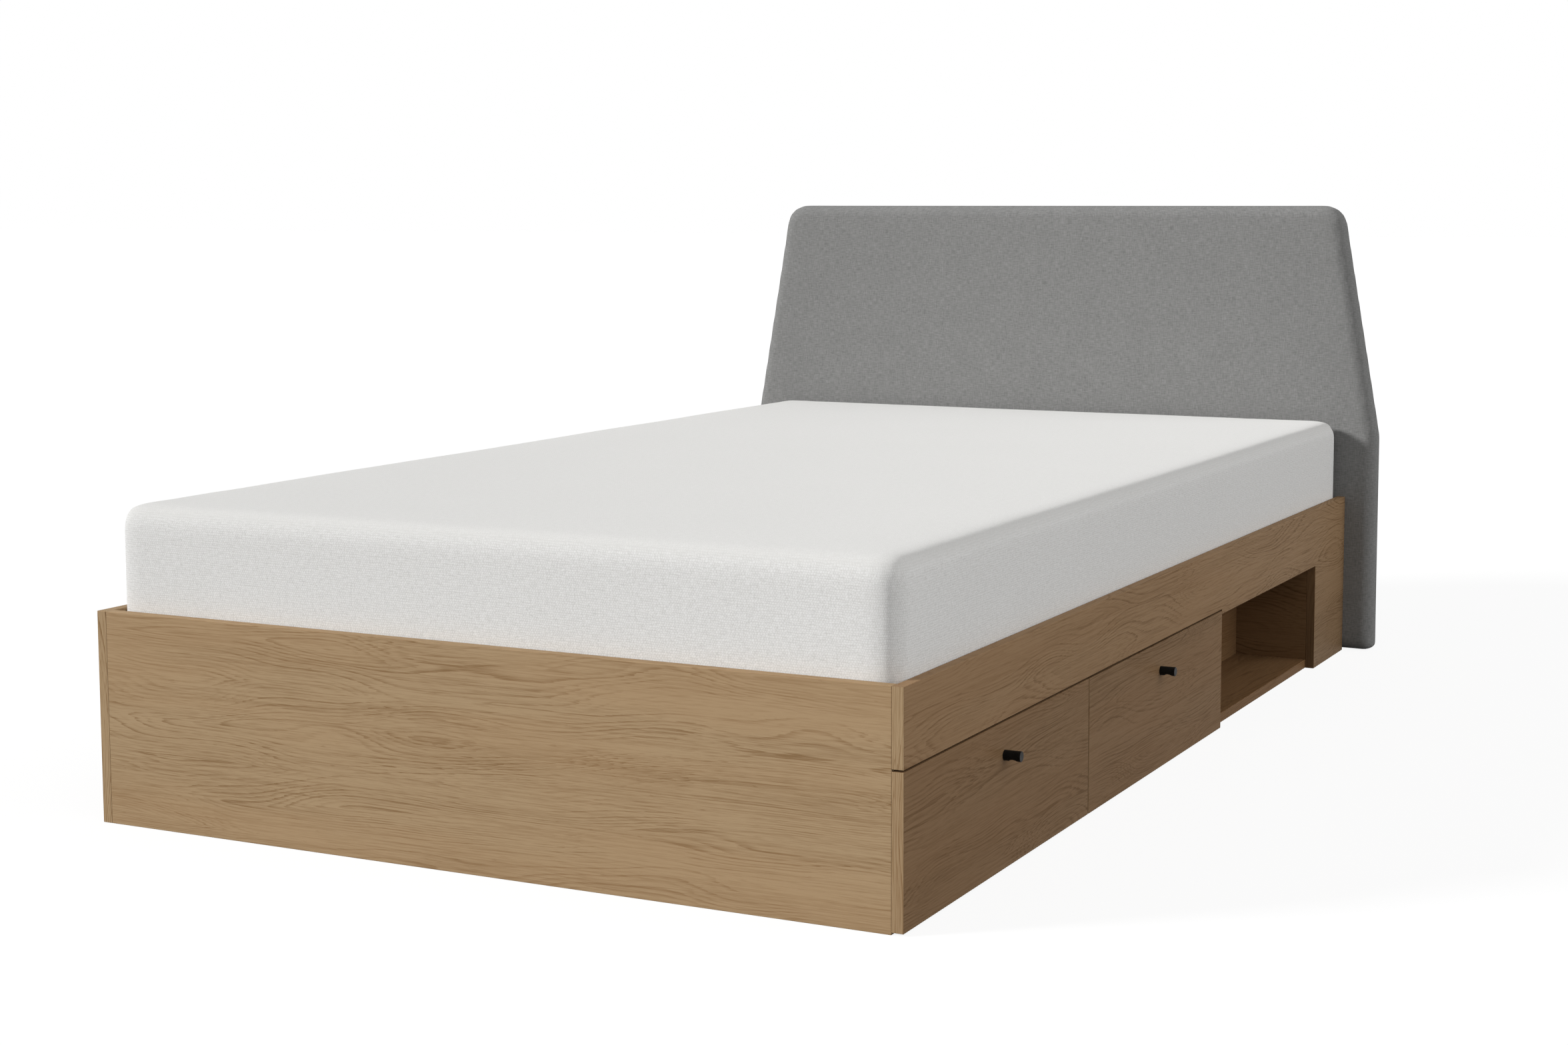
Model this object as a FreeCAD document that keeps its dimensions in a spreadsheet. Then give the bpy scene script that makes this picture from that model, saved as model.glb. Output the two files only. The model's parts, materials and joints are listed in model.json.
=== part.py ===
import FreeCAD
import Part
import Sketcher
import os
import re

# A low youth bed with an upholstered headboard, a mattress, two drawers and an open niche.
# Frame: +X is the drawer side, +Y is the head end, +Z is up.
# The origin is on the floor, under the middle of the whole bed.

# Driving dimensions in millimetres
SIZES = {
    # Mattress
    "mattress_width": 1200.0,
    "mattress_length": 2030.0,
    "mattress_height": 199.7,
    "mattress_side_gap": 5.0,
    "mattress_end_gap": 6.0,
    "mattress_sink": 48.0,
    "mattress_top_radius": 28.0,
    "mattress_base_radius": 22.0,
    "mattress_corner_radius": 32.0,
    "mattress_crown": 4.0,
    "mattress_side_bulge": 2.5,
    "mattress_cover_wall": 6.0,
    "soft_gap": 0.3,
    # Boards of the bed box
    "board": 16.0,
    "thin_board": 12.0,
    "edge_radius": 0.8,
    "side_height": 302.0,
    "rail_height": 100.0,
    "head_leg_width": 211.0,
    "niche_length": 585.5,
    "niche_depth": 151.0,
    # Slats and the ledges that carry them
    "ledge_width": 20.0,
    "ledge_height": 30.0,
    "slat_thickness": 18.0,
    "slat_width": 70.0,
    "slat_end_gap": 1.0,
    "slat_margin": 31.0,
    "strap_width": 25.0,
    "strap_thickness": 1.2,
    "strap_inset": 60.0,
    # Drawers
    "drawer_reveal": 3.0,
    "drawer_depth": 500.0,
    "drawer_box_height": 140.0,
    "drawer_box_lift": 15.0,
    "drawer_bottom_thickness": 4.0,
    "drawer_bottom_lift": 12.0,
    "groove_depth": 6.0,
    "groove_gap": 0.15,
    # Drawer runners with three members
    "runner_thickness": 12.7,
    "runner_height": 45.0,
    "runner_length": 490.0,
    "runner_setback": 4.0,
    "runner_lift": 46.0,
    "runner_wall": 1.2,
    "runner_web_gap": 1.0,
    "middle_runner_height": 35.0,
    "middle_runner_length": 470.0,
    "inner_runner_height": 25.0,
    "inner_runner_depth": 7.6,
    "runner_flange_depth": 9.6,
    "ball_cage_depth": 5.0,
    "running_gap": 0.3,
    # Knobs
    "knob_diameter": 14.0,
    "knob_length": 24.0,
    "knob_drop": 44.0,
    "knob_edge_radius": 0.7,
    "knob_notch_radius": 9.0,
    "knob_notch_depth": 3.0,
    "knob_notch_offset": 1.0,
    # Upholstered headboard
    "headboard_width": 1352.0,
    "headboard_lean": 78.0,
    "headboard_height": 865.0,
    "headboard_shoulder_height": 422.0,
    "headboard_thickness": 59.2,
    "headboard_corner_radius": 42.0,
    "headboard_shoulder_radius": 60.0,
    "headboard_front_radius": 19.0,
    "headboard_back_radius": 12.0,
    "headboard_fabric": 1.5,
    "headboard_front_foam": 24.0,
    "headboard_core_thickness": 18.0,
    "headboard_core_inset": 22.0,
    "lining_thickness": 0.8,
    "lining_inset": 26.0,
    # Fasteners
    "drill_gap": 0.15,
    "overrun": 1.0,
    "cam_radius": 7.5,
    "cam_depth": 12.5,
    "cam_setback": 34.0,
    "cam_low_height": 25.0,
    "cam_high_height": 215.0,
    "cam_bolt_radius": 3.5,
    "cam_bolt_anchor": 10.0,
    "wood_screw_radius": 2.0,
    "wood_screw_length": 30.0,
    "screw_head_radius": 4.0,
    "screw_head_height": 2.2,
    "ledge_screw_margin": 90.0,
    "runner_screw_length": 8.5,
    "runner_screw_margin": 35.0,
    "front_screw_length": 24.0,
    "front_screw_inset": 30.0,
    "knob_screw_radius": 2.0,
    "knob_screw_reach": 10.0,
    "bolt_radius": 4.0,
    "bolt_head_radius": 8.0,
    "bolt_head_height": 5.0,
    "bolt_low_height": 90.0,
    "bolt_high_height": 200.0,
    "bolt_spacing": 800.0,
    "tee_nut_barrel_radius": 5.5,
    "tee_nut_flange_radius": 12.0,
    "tee_nut_flange": 1.5,
    "spacer_radius": 9.0,
}

# How many copies of each repeated thing
SLAT_COUNT = 15
LEDGE_SCREW_COUNT = 5
RUNNER_SCREW_COUNT = 3

# Formulas that work the other sizes out from the driving ones
INNER_WIDTH = "(mattress_width + 2 * mattress_side_gap)"
INNER_LENGTH = "(mattress_length + 2 * mattress_end_gap)"
INNER_X = f"({INNER_WIDTH} / 2)"
OUTER_X = f"({INNER_X} + board)"
BODY_LENGTH = f"(board + {INNER_LENGTH})"
HEADBOARD_DEPTH = "(headboard_thickness + lining_thickness)"
FOOT_Y = f"(-({BODY_LENGTH} + {HEADBOARD_DEPTH}) / 2)"
HEAD_Y = f"({FOOT_Y} + {BODY_LENGTH})"
HEAD_PANEL_Y = f"({HEAD_Y} - board)"
WELL_Y = f"({FOOT_Y} + board)"
WELL_LENGTH = f"({HEAD_PANEL_Y} - {WELL_Y})"

SLAT_TOP = "(side_height - mattress_sink)"
LEDGE_TOP = f"({SLAT_TOP} - slat_thickness)"
PARTITION_HEIGHT = f"({LEDGE_TOP} - ledge_height)"
NICHE_TOP = f"({PARTITION_HEIGHT} - thin_board)"
RAIL_BOTTOM = "(side_height - rail_height)"

NICHE_START = f"({BODY_LENGTH} - head_leg_width - niche_length)"
NICHE_Y = f"({FOOT_Y} + {NICHE_START})"
LEG_Y = f"({HEAD_Y} - head_leg_width)"
NICHE_BACK_X = f"({OUTER_X} - niche_depth)"

FRONT_LENGTH = f"(({NICHE_START} - drawer_reveal) / 2)"
FRONT_HEIGHT = f"({RAIL_BOTTOM} - 2 * drawer_reveal)"
BAY_LENGTH = f"(({NICHE_START} - 3 * board) / 2)"
BOX_LENGTH = f"({BAY_LENGTH} - 2 * runner_thickness)"
BOX_BACK_X = f"({INNER_X} - drawer_depth)"
BOX_Z = "(drawer_reveal + drawer_box_lift)"
RUNNER_Z = f"({BOX_Z} + runner_lift)"
RUNNER_X = f"({INNER_X} - runner_setback - runner_length)"
KNOB_Z = f"(drawer_reveal + {FRONT_HEIGHT} - knob_drop)"

CORE_Y = f"({HEAD_Y} + headboard_fabric + headboard_front_foam)"
TEE_NUT_Y = f"({CORE_Y} + headboard_core_thickness)"

X_AXIS = FreeCAD.Vector(1, 0, 0)
Y_AXIS = FreeCAD.Vector(0, 1, 0)
Z_AXIS = FreeCAD.Vector(0, 0, 1)

# How the sketcher numbers its origin, its axes and the two ends of a line
ORIGIN_INDEX = -1
HORIZONTAL_INDEX = -1
VERTICAL_INDEX = -2
START_INDEX = 1
END_INDEX = 2

# How closely an edge has to follow a direction or a level to count as on it
DIRECTION_TOLERANCE = 0.000001
LEVEL_TOLERANCE = 0.001

doc = FreeCAD.newDocument("youth_bed")
sheet = doc.addObject("Spreadsheet::Sheet", "Sizes")
for row, (alias, size) in enumerate(SIZES.items(), start=1):
    sheet.set(f"A{row}", alias)
    sheet.set(f"B{row}", str(size))
    sheet.setAlias(f"B{row}", alias)
doc.recompute()

nodes = {}


def expression(formula):
    """The formula with each size's name pointed at its cell in the sheet."""
    return re.sub(r"\b[a-z]+(?:_[a-z]+)+\b|\bboard\b|\boverrun\b", lambda m: f"Sizes.{m.group(0)}", formula)


def number(formula):
    """The formula's value now, in millimetres."""
    return float(sheet.evalExpression(expression(formula)))


def bind(item, **formulas):
    """Ties properties of an object to formulas."""
    for name, formula in formulas.items():
        item.setExpression(name, expression(formula))


def place(item, x, y, z):
    """Ties the place of an object to formulas."""
    for axis, formula in (("x", x), ("y", y), ("z", z)):
        if formula != "0":
            item.setExpression(f"Placement.Base.{axis}", expression(formula))


def node(name, item):
    """Makes an object one named piece of the bed."""
    item.Label = name
    nodes[name] = item
    return item


def block(name, size, corner):
    """A plain block from its three sizes and its lowest corner."""
    item = doc.addObject("Part::Box", f"{name}_block")
    bind(item, Length=size[0], Width=size[1], Height=size[2])
    place(item, *corner)
    return item


def rounded_block(name, size, corner):
    """A board whose banded edges are slightly rounded."""
    body = doc.addObject("PartDesign::Body", f"{name}_body")
    blank = body.newObject("PartDesign::AdditiveBox", f"{name}_blank")
    bind(blank, Length=size[0], Width=size[1], Height=size[2])
    edges = body.newObject("PartDesign::Fillet", f"{name}_edges")
    edges.Base = (blank, [""])
    edges.UseAllEdges = True
    bind(edges, Radius="edge_radius")
    place(body, *corner)
    return body


def cylinder(name, radius, length, base, direction):
    """A cylinder from the middle of its first end, along a direction."""
    item = doc.addObject("Part::Cylinder", name)
    bind(item, Radius=radius, Height=length)
    item.Placement = FreeCAD.Placement(FreeCAD.Vector(), FreeCAD.Rotation(Z_AXIS, direction))
    place(item, *base)
    return item


def group(name, items):
    """Several separate solids as one object."""
    item = doc.addObject("Part::Compound", name)
    item.Links = items
    return item


def fuse(name, items):
    """One solid out of several that overlap or touch."""
    item = doc.addObject("Part::MultiFuse", name)
    item.Shapes = items
    item.Refine = True
    return item


def cut(name, base, tools):
    """The base with every tool taken away."""
    item = doc.addObject("Part::Cut", name)
    item.Base = base
    item.Tool = tools[0] if len(tools) == 1 else group(f"{name}_tools", tools)
    return item


def outline_body(name, plane, corners, depth, corner, reverse=False):
    """A solid padded from an outline on an origin plane."""
    body = doc.addObject("PartDesign::Body", f"{name}_body")
    sketch = body.newObject("Sketcher::SketchObject", f"{name}_outline")
    support = next(item for item in body.Origin.OriginFeatures if item.Role == plane)
    sketch.AttachmentSupport = [(support, "")]
    sketch.MapMode = "FlatFace"
    points = [FreeCAD.Vector(number(a), number(b), 0) for a, b in corners]
    for side, start in enumerate(points):
        end = points[(side + 1) % len(points)]
        sketch.addGeometry(Part.LineSegment(start, end), False)
    for side in range(len(points)):
        following = (side + 1) % len(points)
        sketch.addConstraint(Sketcher.Constraint("Coincident", side, END_INDEX, following, START_INDEX))
    for side, (across, up) in enumerate(corners):
        for kind, axis, formula in (
            ("DistanceX", VERTICAL_INDEX, across),
            ("DistanceY", HORIZONTAL_INDEX, up),
        ):
            if formula == "0":
                sketch.addConstraint(Sketcher.Constraint("PointOnObject", side, START_INDEX, axis))
                continue
            ends = (ORIGIN_INDEX, START_INDEX, side, START_INDEX)
            index = sketch.addConstraint(Sketcher.Constraint(kind, *ends, number(formula)))
            sketch.setExpression(f"Constraints[{index}]", expression(formula))
    pad = body.newObject("PartDesign::Pad", f"{name}_pad")
    pad.Profile = sketch
    pad.Reversed = reverse
    bind(pad, Length=depth)
    place(body, *corner)
    doc.recompute()
    return body


def rounded(body, radius, chosen):
    """The body with every edge that the test chooses rounded."""
    solid = body.Shape.copy()
    solid.Placement = FreeCAD.Placement()
    names = [f"Edge{i}" for i, edge in enumerate(solid.Edges, start=1) if chosen(edge)]
    sharp = body.Tip
    fillet = body.newObject("PartDesign::Fillet", f"{body.Name}_round")
    fillet.Base = (sharp, names)
    bind(fillet, Radius=radius)
    doc.recompute()
    return body


def runs_along(edge, direction):
    """Whether an edge is straight and parallel to a direction."""
    if not isinstance(edge.Curve, Part.Line):
        return False
    return edge.Curve.Direction.cross(direction).Length < DIRECTION_TOLERANCE


def lies_at(edge, axis, level):
    """Whether the whole edge lies in the plane at one level of an axis."""
    box = edge.BoundBox
    low, high = getattr(box, f"{axis}Min"), getattr(box, f"{axis}Max")
    return abs(low - level) < LEVEL_TOLERANCE and abs(high - level) < LEVEL_TOLERANCE


def spread(first, last, count, index):
    """The place of one of several copies, evenly spread from the first place to the last."""
    return f"({first} + ({last} - {first}) * {index} / {count - 1})"


# Cam locks join the foot and head boards to the side panels: where each cam and its bolt lie along Y
CAM_ENDS = {
    "foot": (f"({WELL_Y} - cam_depth)", f"({FOOT_Y} + board / 2)"),
    "head": (HEAD_PANEL_Y, f"({HEAD_Y} - board / 2)"),
}
SIDES = {"left": -1, "right": 1}


def cam_places(ends, sides):
    """The end, side and height of each cam lock. The right rail is too high for a low one at the foot."""
    for end in ends:
        for side in sides:
            levels = ["high"] if (end, side) == ("foot", "right") else ["low", "high"]
            for level in levels:
                yield end, SIDES[side], f"cam_{level}_height", f"{end}_{side}_{level}"


def cams(name, gap, ends=tuple(CAM_ENDS)):
    """Cam housings set into the end boards, each larger by a gap where it is a drill."""
    items = []
    for end, sign, height, tag in cam_places(ends, SIDES):
        across = f"({sign} * ({INNER_X} - cam_setback))"
        base = (across, CAM_ENDS[end][0], height)
        items.append(cylinder(f"{name}_{tag}", f"cam_radius + {gap}", "cam_depth", base, Y_AXIS))
    return items


def cam_bolts(name, gap, ends=tuple(CAM_ENDS), sides=tuple(SIDES)):
    """Cam bolts from the side panels into the cams, each larger by a gap where it is a drill."""
    items = []
    for end, sign, height, tag in cam_places(ends, sides):
        start = f"({sign} * ({INNER_X} + cam_bolt_anchor + {gap}))"
        length = f"cam_bolt_anchor + cam_setback - cam_radius + {gap}"
        base = (start, CAM_ENDS[end][1], height)
        items.append(cylinder(f"{name}_{tag}", f"cam_bolt_radius + {gap}", length, base, X_AXIS * -sign))
    return items


def bolt_places():
    """The four places, across and up, where the headboard is bolted on."""
    for sign in (-1, 1):
        for level in ("low", "high"):
            yield f"{sign} * bolt_spacing / 2", f"bolt_{level}_height", f"{sign}_{level}"


def bolt_bores(name, start, length, radius):
    """Four bores along Y, one for each headboard bolt."""
    return [
        cylinder(f"{name}_{tag}", radius, length, (across, start, up), Y_AXIS)
        for across, up, tag in bolt_places()
    ]


def runner_faces():
    """Each runner's drawer number, its side, the Y of its outer face and the way it faces the drawer."""
    for number_of_drawer in (1, 2):
        bay = f"({FOOT_Y} + board + ({BAY_LENGTH} + board) * {number_of_drawer - 1})"
        yield number_of_drawer, "foot_side", bay, 1
        yield number_of_drawer, "head_side", f"({bay} + {BAY_LENGTH})", -1


def runner_screws(name, drawer, radius, from_cabinet):
    """The screws of a drawer's runners, into the cabinet or into the drawer box."""
    items = []
    first = f"({RUNNER_X} + runner_screw_margin)"
    last = f"({RUNNER_X} + runner_length - runner_screw_margin)"
    for number_of_drawer, side, face, way in runner_faces():
        if number_of_drawer != drawer:
            continue
        for index in range(RUNNER_SCREW_COUNT):
            across = spread(first, last, RUNNER_SCREW_COUNT, index)
            if from_cabinet:
                start = f"({face} + {way} * runner_wall)"
                direction = Y_AXIS * -way
            else:
                start = f"({face} + {way} * (runner_thickness - runner_wall))"
                direction = Y_AXIS * way
            base = (across, start, RUNNER_Z)
            tag = f"{name}_{drawer}_{side}_{index}"
            items.append(cylinder(tag, radius, "runner_screw_length", base, direction))
    return items


SCREW_DRILL = "wood_screw_radius + drill_gap"
LEDGE_Z = f"({LEDGE_TOP} - ledge_height)"


def ledge_screw_places(side):
    """The start of each screw that goes through a ledge into its side panel."""
    first = f"({WELL_Y} + ledge_screw_margin)"
    last = f"({HEAD_PANEL_Y} - ledge_screw_margin)"
    across = f"({SIDES[side]} * ({INNER_X} - ledge_width))"
    up = f"({LEDGE_Z} + ledge_height / 2)"
    for index in range(LEDGE_SCREW_COUNT):
        yield index, (across, spread(first, last, LEDGE_SCREW_COUNT, index), up)


def ledge_drills(side):
    """The drilled holes of a ledge's screws."""
    return [
        cylinder(
            f"ledge_drill_{side}_{index}", SCREW_DRILL, "wood_screw_length + drill_gap", base,
            X_AXIS * SIDES[side],
        )
        for index, base in ledge_screw_places(side)
    ]


def headed_screw(name, radius, length, base, direction):
    """A screw whose round head sits on the surface at its base point."""
    shank = cylinder(f"{name}_shank", radius, length, base, direction)
    head = cylinder(f"{name}_head", "screw_head_radius", "screw_head_height", base, direction * -1)
    return fuse(name, [head, shank])


# Foot board, between the side panels
foot_size = (INNER_WIDTH, "board", "side_height")
foot_blank = rounded_block("footboard", foot_size, (f"-{INNER_X}", FOOT_Y, "0"))
first_drills = runner_screws("cabinet_drill", 1, SCREW_DRILL, True)
second_drills = runner_screws("cabinet_drill", 2, SCREW_DRILL, True)
foot_drills = cams("foot_cam_drill", "drill_gap", ["foot"])
foot_drills += cam_bolts("foot_bolt_drill", "drill_gap", ["foot"])
foot_drills += [item for item in first_drills if "foot_side" in item.Name]
node("footboard", cut("footboard", foot_blank, foot_drills))

# Side panels: the right one is a rail over the drawers and the niche, with a leg at the head
side_size = ("board", BODY_LENGTH, "side_height")
left_blank = rounded_block("left_side_panel", side_size, (f"-{OUTER_X}", FOOT_Y, "0"))
left_drills = cam_bolts("left_bolt_drill", "drill_gap", sides=["left"]) + ledge_drills("left")
node("left_side_panel", cut("left_side_panel", left_blank, left_drills))
right_outline = [
    ("0", RAIL_BOTTOM),
    (NICHE_START, RAIL_BOTTOM),
    (NICHE_START, NICHE_TOP),
    (f"{NICHE_START} + niche_length", NICHE_TOP),
    (f"{NICHE_START} + niche_length", "0"),
    (BODY_LENGTH, "0"),
    (BODY_LENGTH, "side_height"),
    ("0", "side_height"),
]
right_blank = outline_body("right_side_panel", "YZ_Plane", right_outline, "board", (INNER_X, FOOT_Y, "0"))
rounded(right_blank, "edge_radius", lambda edge: not runs_along(edge, X_AXIS))
right_drills = cam_bolts("right_bolt_drill", "drill_gap", sides=["right"]) + ledge_drills("right")
node("right_side_panel", cut("right_side_panel", right_blank, right_drills))

# Head board of the box, which carries the headboard's bolts
head_blank = block("head_panel", (INNER_WIDTH, "board", SLAT_TOP), (f"-{INNER_X}", HEAD_PANEL_Y, "0"))
head_drills = cams("head_cam_drill", "drill_gap", ["head"])
head_drills += cam_bolts("head_bolt_drill", "drill_gap", ["head"])
head_drills += bolt_bores(
    "panel_bore", f"({HEAD_PANEL_Y} - overrun)", "board + 2 * overrun", "bolt_radius + drill_gap"
)
node("head_panel", cut("head_panel", head_blank, head_drills))

# Fittings that join the ends to the sides
node("cam_locks", group("cam_locks", cams("cam", "0")))
node("cam_bolts", group("cam_bolts", cam_bolts("cam_bolt", "0")))

# Boards inside the box
SPINE_X = "(board / 2)"
BAY_DEPTH = f"({INNER_X} - {SPINE_X})"
node("centre_panel", block(
    "centre_panel", ("board", WELL_LENGTH, LEDGE_TOP), (f"-{SPINE_X}", WELL_Y, "0")
))
for name, start, drills in (
    ("middle_partition", f"({WELL_Y} + {BAY_LENGTH})", first_drills + second_drills),
    ("niche_partition", f"({NICHE_Y} - board)", second_drills),
):
    partition = block(name, (BAY_DEPTH, "board", PARTITION_HEIGHT), (SPINE_X, start, "0"))
    node(name, cut(name, partition, drills))
for name, start in (
    ("left_front_brace", f"({WELL_Y} + {BAY_LENGTH})"),
    ("left_rear_brace", f"({NICHE_Y} - board)"),
):
    node(name, block(name, (BAY_DEPTH, "board", PARTITION_HEIGHT), (f"-{INNER_X}", start, "0")))

# Open niche beside the drawers
NICHE_SHELL_X = f"({NICHE_BACK_X} - board)"
NICHE_SHELL_DEPTH = f"({INNER_X} - {NICHE_SHELL_X})"
floor_size = (f"({INNER_X} - {NICHE_BACK_X})", "niche_length", "board")
node("niche_floor", rounded_block("niche_floor", floor_size, (NICHE_BACK_X, NICHE_Y, "0")))
for name, size, corner in (
    ("niche_back", ("board", "niche_length", NICHE_TOP), (NICHE_SHELL_X, NICHE_Y, "0")),
    ("niche_head_wall", (NICHE_SHELL_DEPTH, "board", PARTITION_HEIGHT), (NICHE_SHELL_X, LEG_Y, "0")),
    ("niche_top", (NICHE_SHELL_DEPTH, "niche_length", "thin_board"), (NICHE_SHELL_X, NICHE_Y, NICHE_TOP)),
):
    node(name, block(name, size, corner))

# Ledges on the side panels, with their screws
ledge_screws = []
for side, sign in SIDES.items():
    name = f"{side}_slat_ledge"
    ledge_x = f"({sign} * ({INNER_X} - ledge_width / 2) - ledge_width / 2)"
    ledge = block(name, ("ledge_width", WELL_LENGTH, "ledge_height"), (ledge_x, WELL_Y, LEDGE_Z))
    node(name, cut(name, ledge, ledge_drills(side)))
    for index, base in ledge_screw_places(side):
        tag = f"ledge_screw_{side}_{index}"
        ledge_screws.append(headed_screw(tag, "wood_screw_radius", "wood_screw_length", base, X_AXIS * sign))
node("ledge_screws", group("ledge_screws", ledge_screws))

# Slats across the box, with two webbing straps stapled under them
slats = []
for index in range(SLAT_COUNT):
    first = f"({WELL_Y} + slat_margin)"
    last = f"({HEAD_PANEL_Y} - slat_margin - slat_width)"
    size = (f"({INNER_WIDTH} - 2 * slat_end_gap)", "slat_width", "slat_thickness")
    start = spread(first, last, SLAT_COUNT, index)
    slats.append(block(f"slat_{index}", size, (f"(slat_end_gap - {INNER_X})", start, LEDGE_TOP)))
node("slats", group("slats", slats))
straps = []
for side, sign in SIDES.items():
    across = f"({sign} * ({INNER_X} - strap_inset) - strap_width / 2)"
    corner = (across, f"({WELL_Y} + slat_margin)", f"({LEDGE_TOP} - strap_thickness)")
    size = ("strap_width", f"({WELL_LENGTH} - 2 * slat_margin)", "strap_thickness")
    straps.append(block(f"strap_{side}", size, corner))
node("slat_straps", group("slat_straps", straps))


def channel(name, face, way, near, depth, height, length, start_x, opens_to_drawer):
    """A runner member: a channel with its back at one side and two flanges."""
    if way > 0:
        corner_y = f"({face} + {near})"
    else:
        corner_y = f"({face} - {near} - {depth})"
    size = (length, depth, height)
    solid = block(name, size, (start_x, corner_y, f"({RUNNER_Z} - {height} / 2)"))
    hollow_low_side = opens_to_drawer == (way > 0)
    if hollow_low_side:
        hollow_y = f"({corner_y} + runner_wall)"
    else:
        hollow_y = f"({corner_y} - overrun)"
    hollow_size = (
        f"({length} + 2 * overrun)",
        f"({depth} - runner_wall + overrun)",
        f"({height} - 2 * runner_wall)",
    )
    hollow_corner = (
        f"({start_x} - overrun)",
        hollow_y,
        f"({RUNNER_Z} - {height} / 2 + runner_wall)",
    )
    return cut(f"{name}_channel", solid, [block(f"{name}_hollow", hollow_size, hollow_corner)])


MIDDLE_NEAR = "(runner_wall + runner_web_gap)"
MIDDLE_DEPTH = f"(runner_flange_depth - {MIDDLE_NEAR} + runner_web_gap)"
MIDDLE_X = f"({INNER_X} - runner_setback - middle_runner_length)"
INNER_NEAR = "(runner_thickness - inner_runner_depth)"
OUTER_CAGE = "((runner_height - 2 * runner_wall - middle_runner_height) / 2 - running_gap)"
INNER_CAGE = "((middle_runner_height - 2 * runner_wall - inner_runner_height) / 2 - running_gap)"


def cage(name, face, way, near, base_z, height):
    """A strip that keeps the runner's balls apart, fixed to the middle member."""
    if way > 0:
        corner_y = f"({face} + {near})"
    else:
        corner_y = f"({face} - {near} - ball_cage_depth)"
    size = ("middle_runner_length", "ball_cage_depth", height)
    return block(name, size, (MIDDLE_X, corner_y, base_z))


def runner_cages(name, face, way):
    """The four ball strips of one runner."""
    half = "middle_runner_height / 2"
    outer_near = f"({MIDDLE_NEAR} + runner_wall)"
    return [
        cage(f"{name}_outer_top", face, way, outer_near, f"({RUNNER_Z} + {half})", OUTER_CAGE),
        cage(f"{name}_outer_low", face, way, outer_near, f"({RUNNER_Z} - {half} - {OUTER_CAGE})", OUTER_CAGE),
        cage(
            f"{name}_inner_top", face, way, INNER_NEAR,
            f"({RUNNER_Z} + {half} - runner_wall - {INNER_CAGE})", INNER_CAGE,
        ),
        cage(f"{name}_inner_low", face, way, INNER_NEAR, f"({RUNNER_Z} - {half} + runner_wall)", INNER_CAGE),
    ]


def runner_set(drawer):
    """The fixed, middle and drawer members of a drawer's two runners, with their ball cages."""
    fixed, middle, moving, cages = [], [], [], []
    for number_of_drawer, side, face, way in runner_faces():
        if number_of_drawer != drawer:
            continue
        tag = f"runner_{drawer}_{side}"
        fixed.append(channel(
            f"{tag}_fixed", face, way, "0", "runner_flange_depth", "runner_height",
            "runner_length", RUNNER_X, True,
        ))
        middle.append(channel(
            f"{tag}_middle", face, way, MIDDLE_NEAR, MIDDLE_DEPTH, "middle_runner_height",
            "middle_runner_length", MIDDLE_X, True,
        ))
        moving.append(channel(
            f"{tag}_moving", face, way, INNER_NEAR, "inner_runner_depth", "inner_runner_height",
            "runner_length", RUNNER_X, False,
        ))
        cages.extend(runner_cages(tag, face, way))
    fixed_drills = runner_screws(f"fixed_runner_drill_{drawer}", drawer, SCREW_DRILL, True)
    moving_drills = runner_screws(f"moving_runner_drill_{drawer}", drawer, SCREW_DRILL, False)
    prefix = f"drawer_{drawer}"
    fixed_pair = group(f"{prefix}_fixed_pair", fixed)
    moving_pair = group(f"{prefix}_moving_pair", moving)
    node(f"{prefix}_cabinet_rails", cut(f"{prefix}_cabinet_rails", fixed_pair, fixed_drills))
    node(f"{prefix}_middle_rails", group(f"{prefix}_middle_rails", middle))
    node(f"{prefix}_ball_cages", group(f"{prefix}_ball_cages", cages))
    node(f"{prefix}_slide_rails", cut(f"{prefix}_slide_rails", moving_pair, moving_drills))


def knob(name, middle_y):
    """A round bar that stands out of the drawer front, with a finger notch under it."""
    radius = "knob_diameter / 2"
    bar = cylinder(f"{name}_bar", radius, "knob_length", (OUTER_X, middle_y, KNOB_Z), X_AXIS)
    tip = doc.addObject("Part::Fillet", f"{name}_tip")
    tip.Base = bar
    doc.recompute()
    ring = next(
        index for index, edge in enumerate(bar.Shape.Edges, start=1)
        if lies_at(edge, "X", number(f"{OUTER_X} + knob_length"))
    )
    edge_radius = number("knob_edge_radius")
    tip.Edges = [(ring, edge_radius, edge_radius)]
    notch_x = f"({OUTER_X} + knob_length / 2 + knob_notch_offset)"
    notch_y = f"({middle_y} - knob_diameter)"
    notch_z = f"({KNOB_Z} - {radius} + knob_notch_depth - knob_notch_radius)"
    notch_base = (notch_x, notch_y, notch_z)
    notch = cylinder(f"{name}_notch", "knob_notch_radius", "2 * knob_diameter", notch_base, Y_AXIS)
    socket = cylinder(
        f"{name}_socket", "knob_screw_radius + drill_gap", "knob_screw_reach + overrun + drill_gap",
        (f"({OUTER_X} - overrun)", middle_y, KNOB_Z), X_AXIS,
    )
    return node(name, cut(name, tip, [notch, socket]))


def knob_screw(name, middle_y):
    """The machine screw that holds the knob from inside the drawer."""
    base = (f"({INNER_X} - thin_board)", middle_y, KNOB_Z)
    length = "thin_board + board + knob_screw_reach"
    return node(name, headed_screw(name, "knob_screw_radius", length, base, X_AXIS))


def front_screw_places(start_y):
    """The starts of the four screws that hold a drawer's face on its box."""
    for across, side in (("front_screw_inset", "foot"), (f"({BOX_LENGTH} - front_screw_inset)", "head")):
        for up, level in (("front_screw_inset", "low"), ("(drawer_box_height - front_screw_inset)", "high")):
            base = (f"({INNER_X} - thin_board)", f"({start_y} + {across})", f"({BOX_Z} + {up})")
            yield f"{side}_{level}", base


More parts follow.
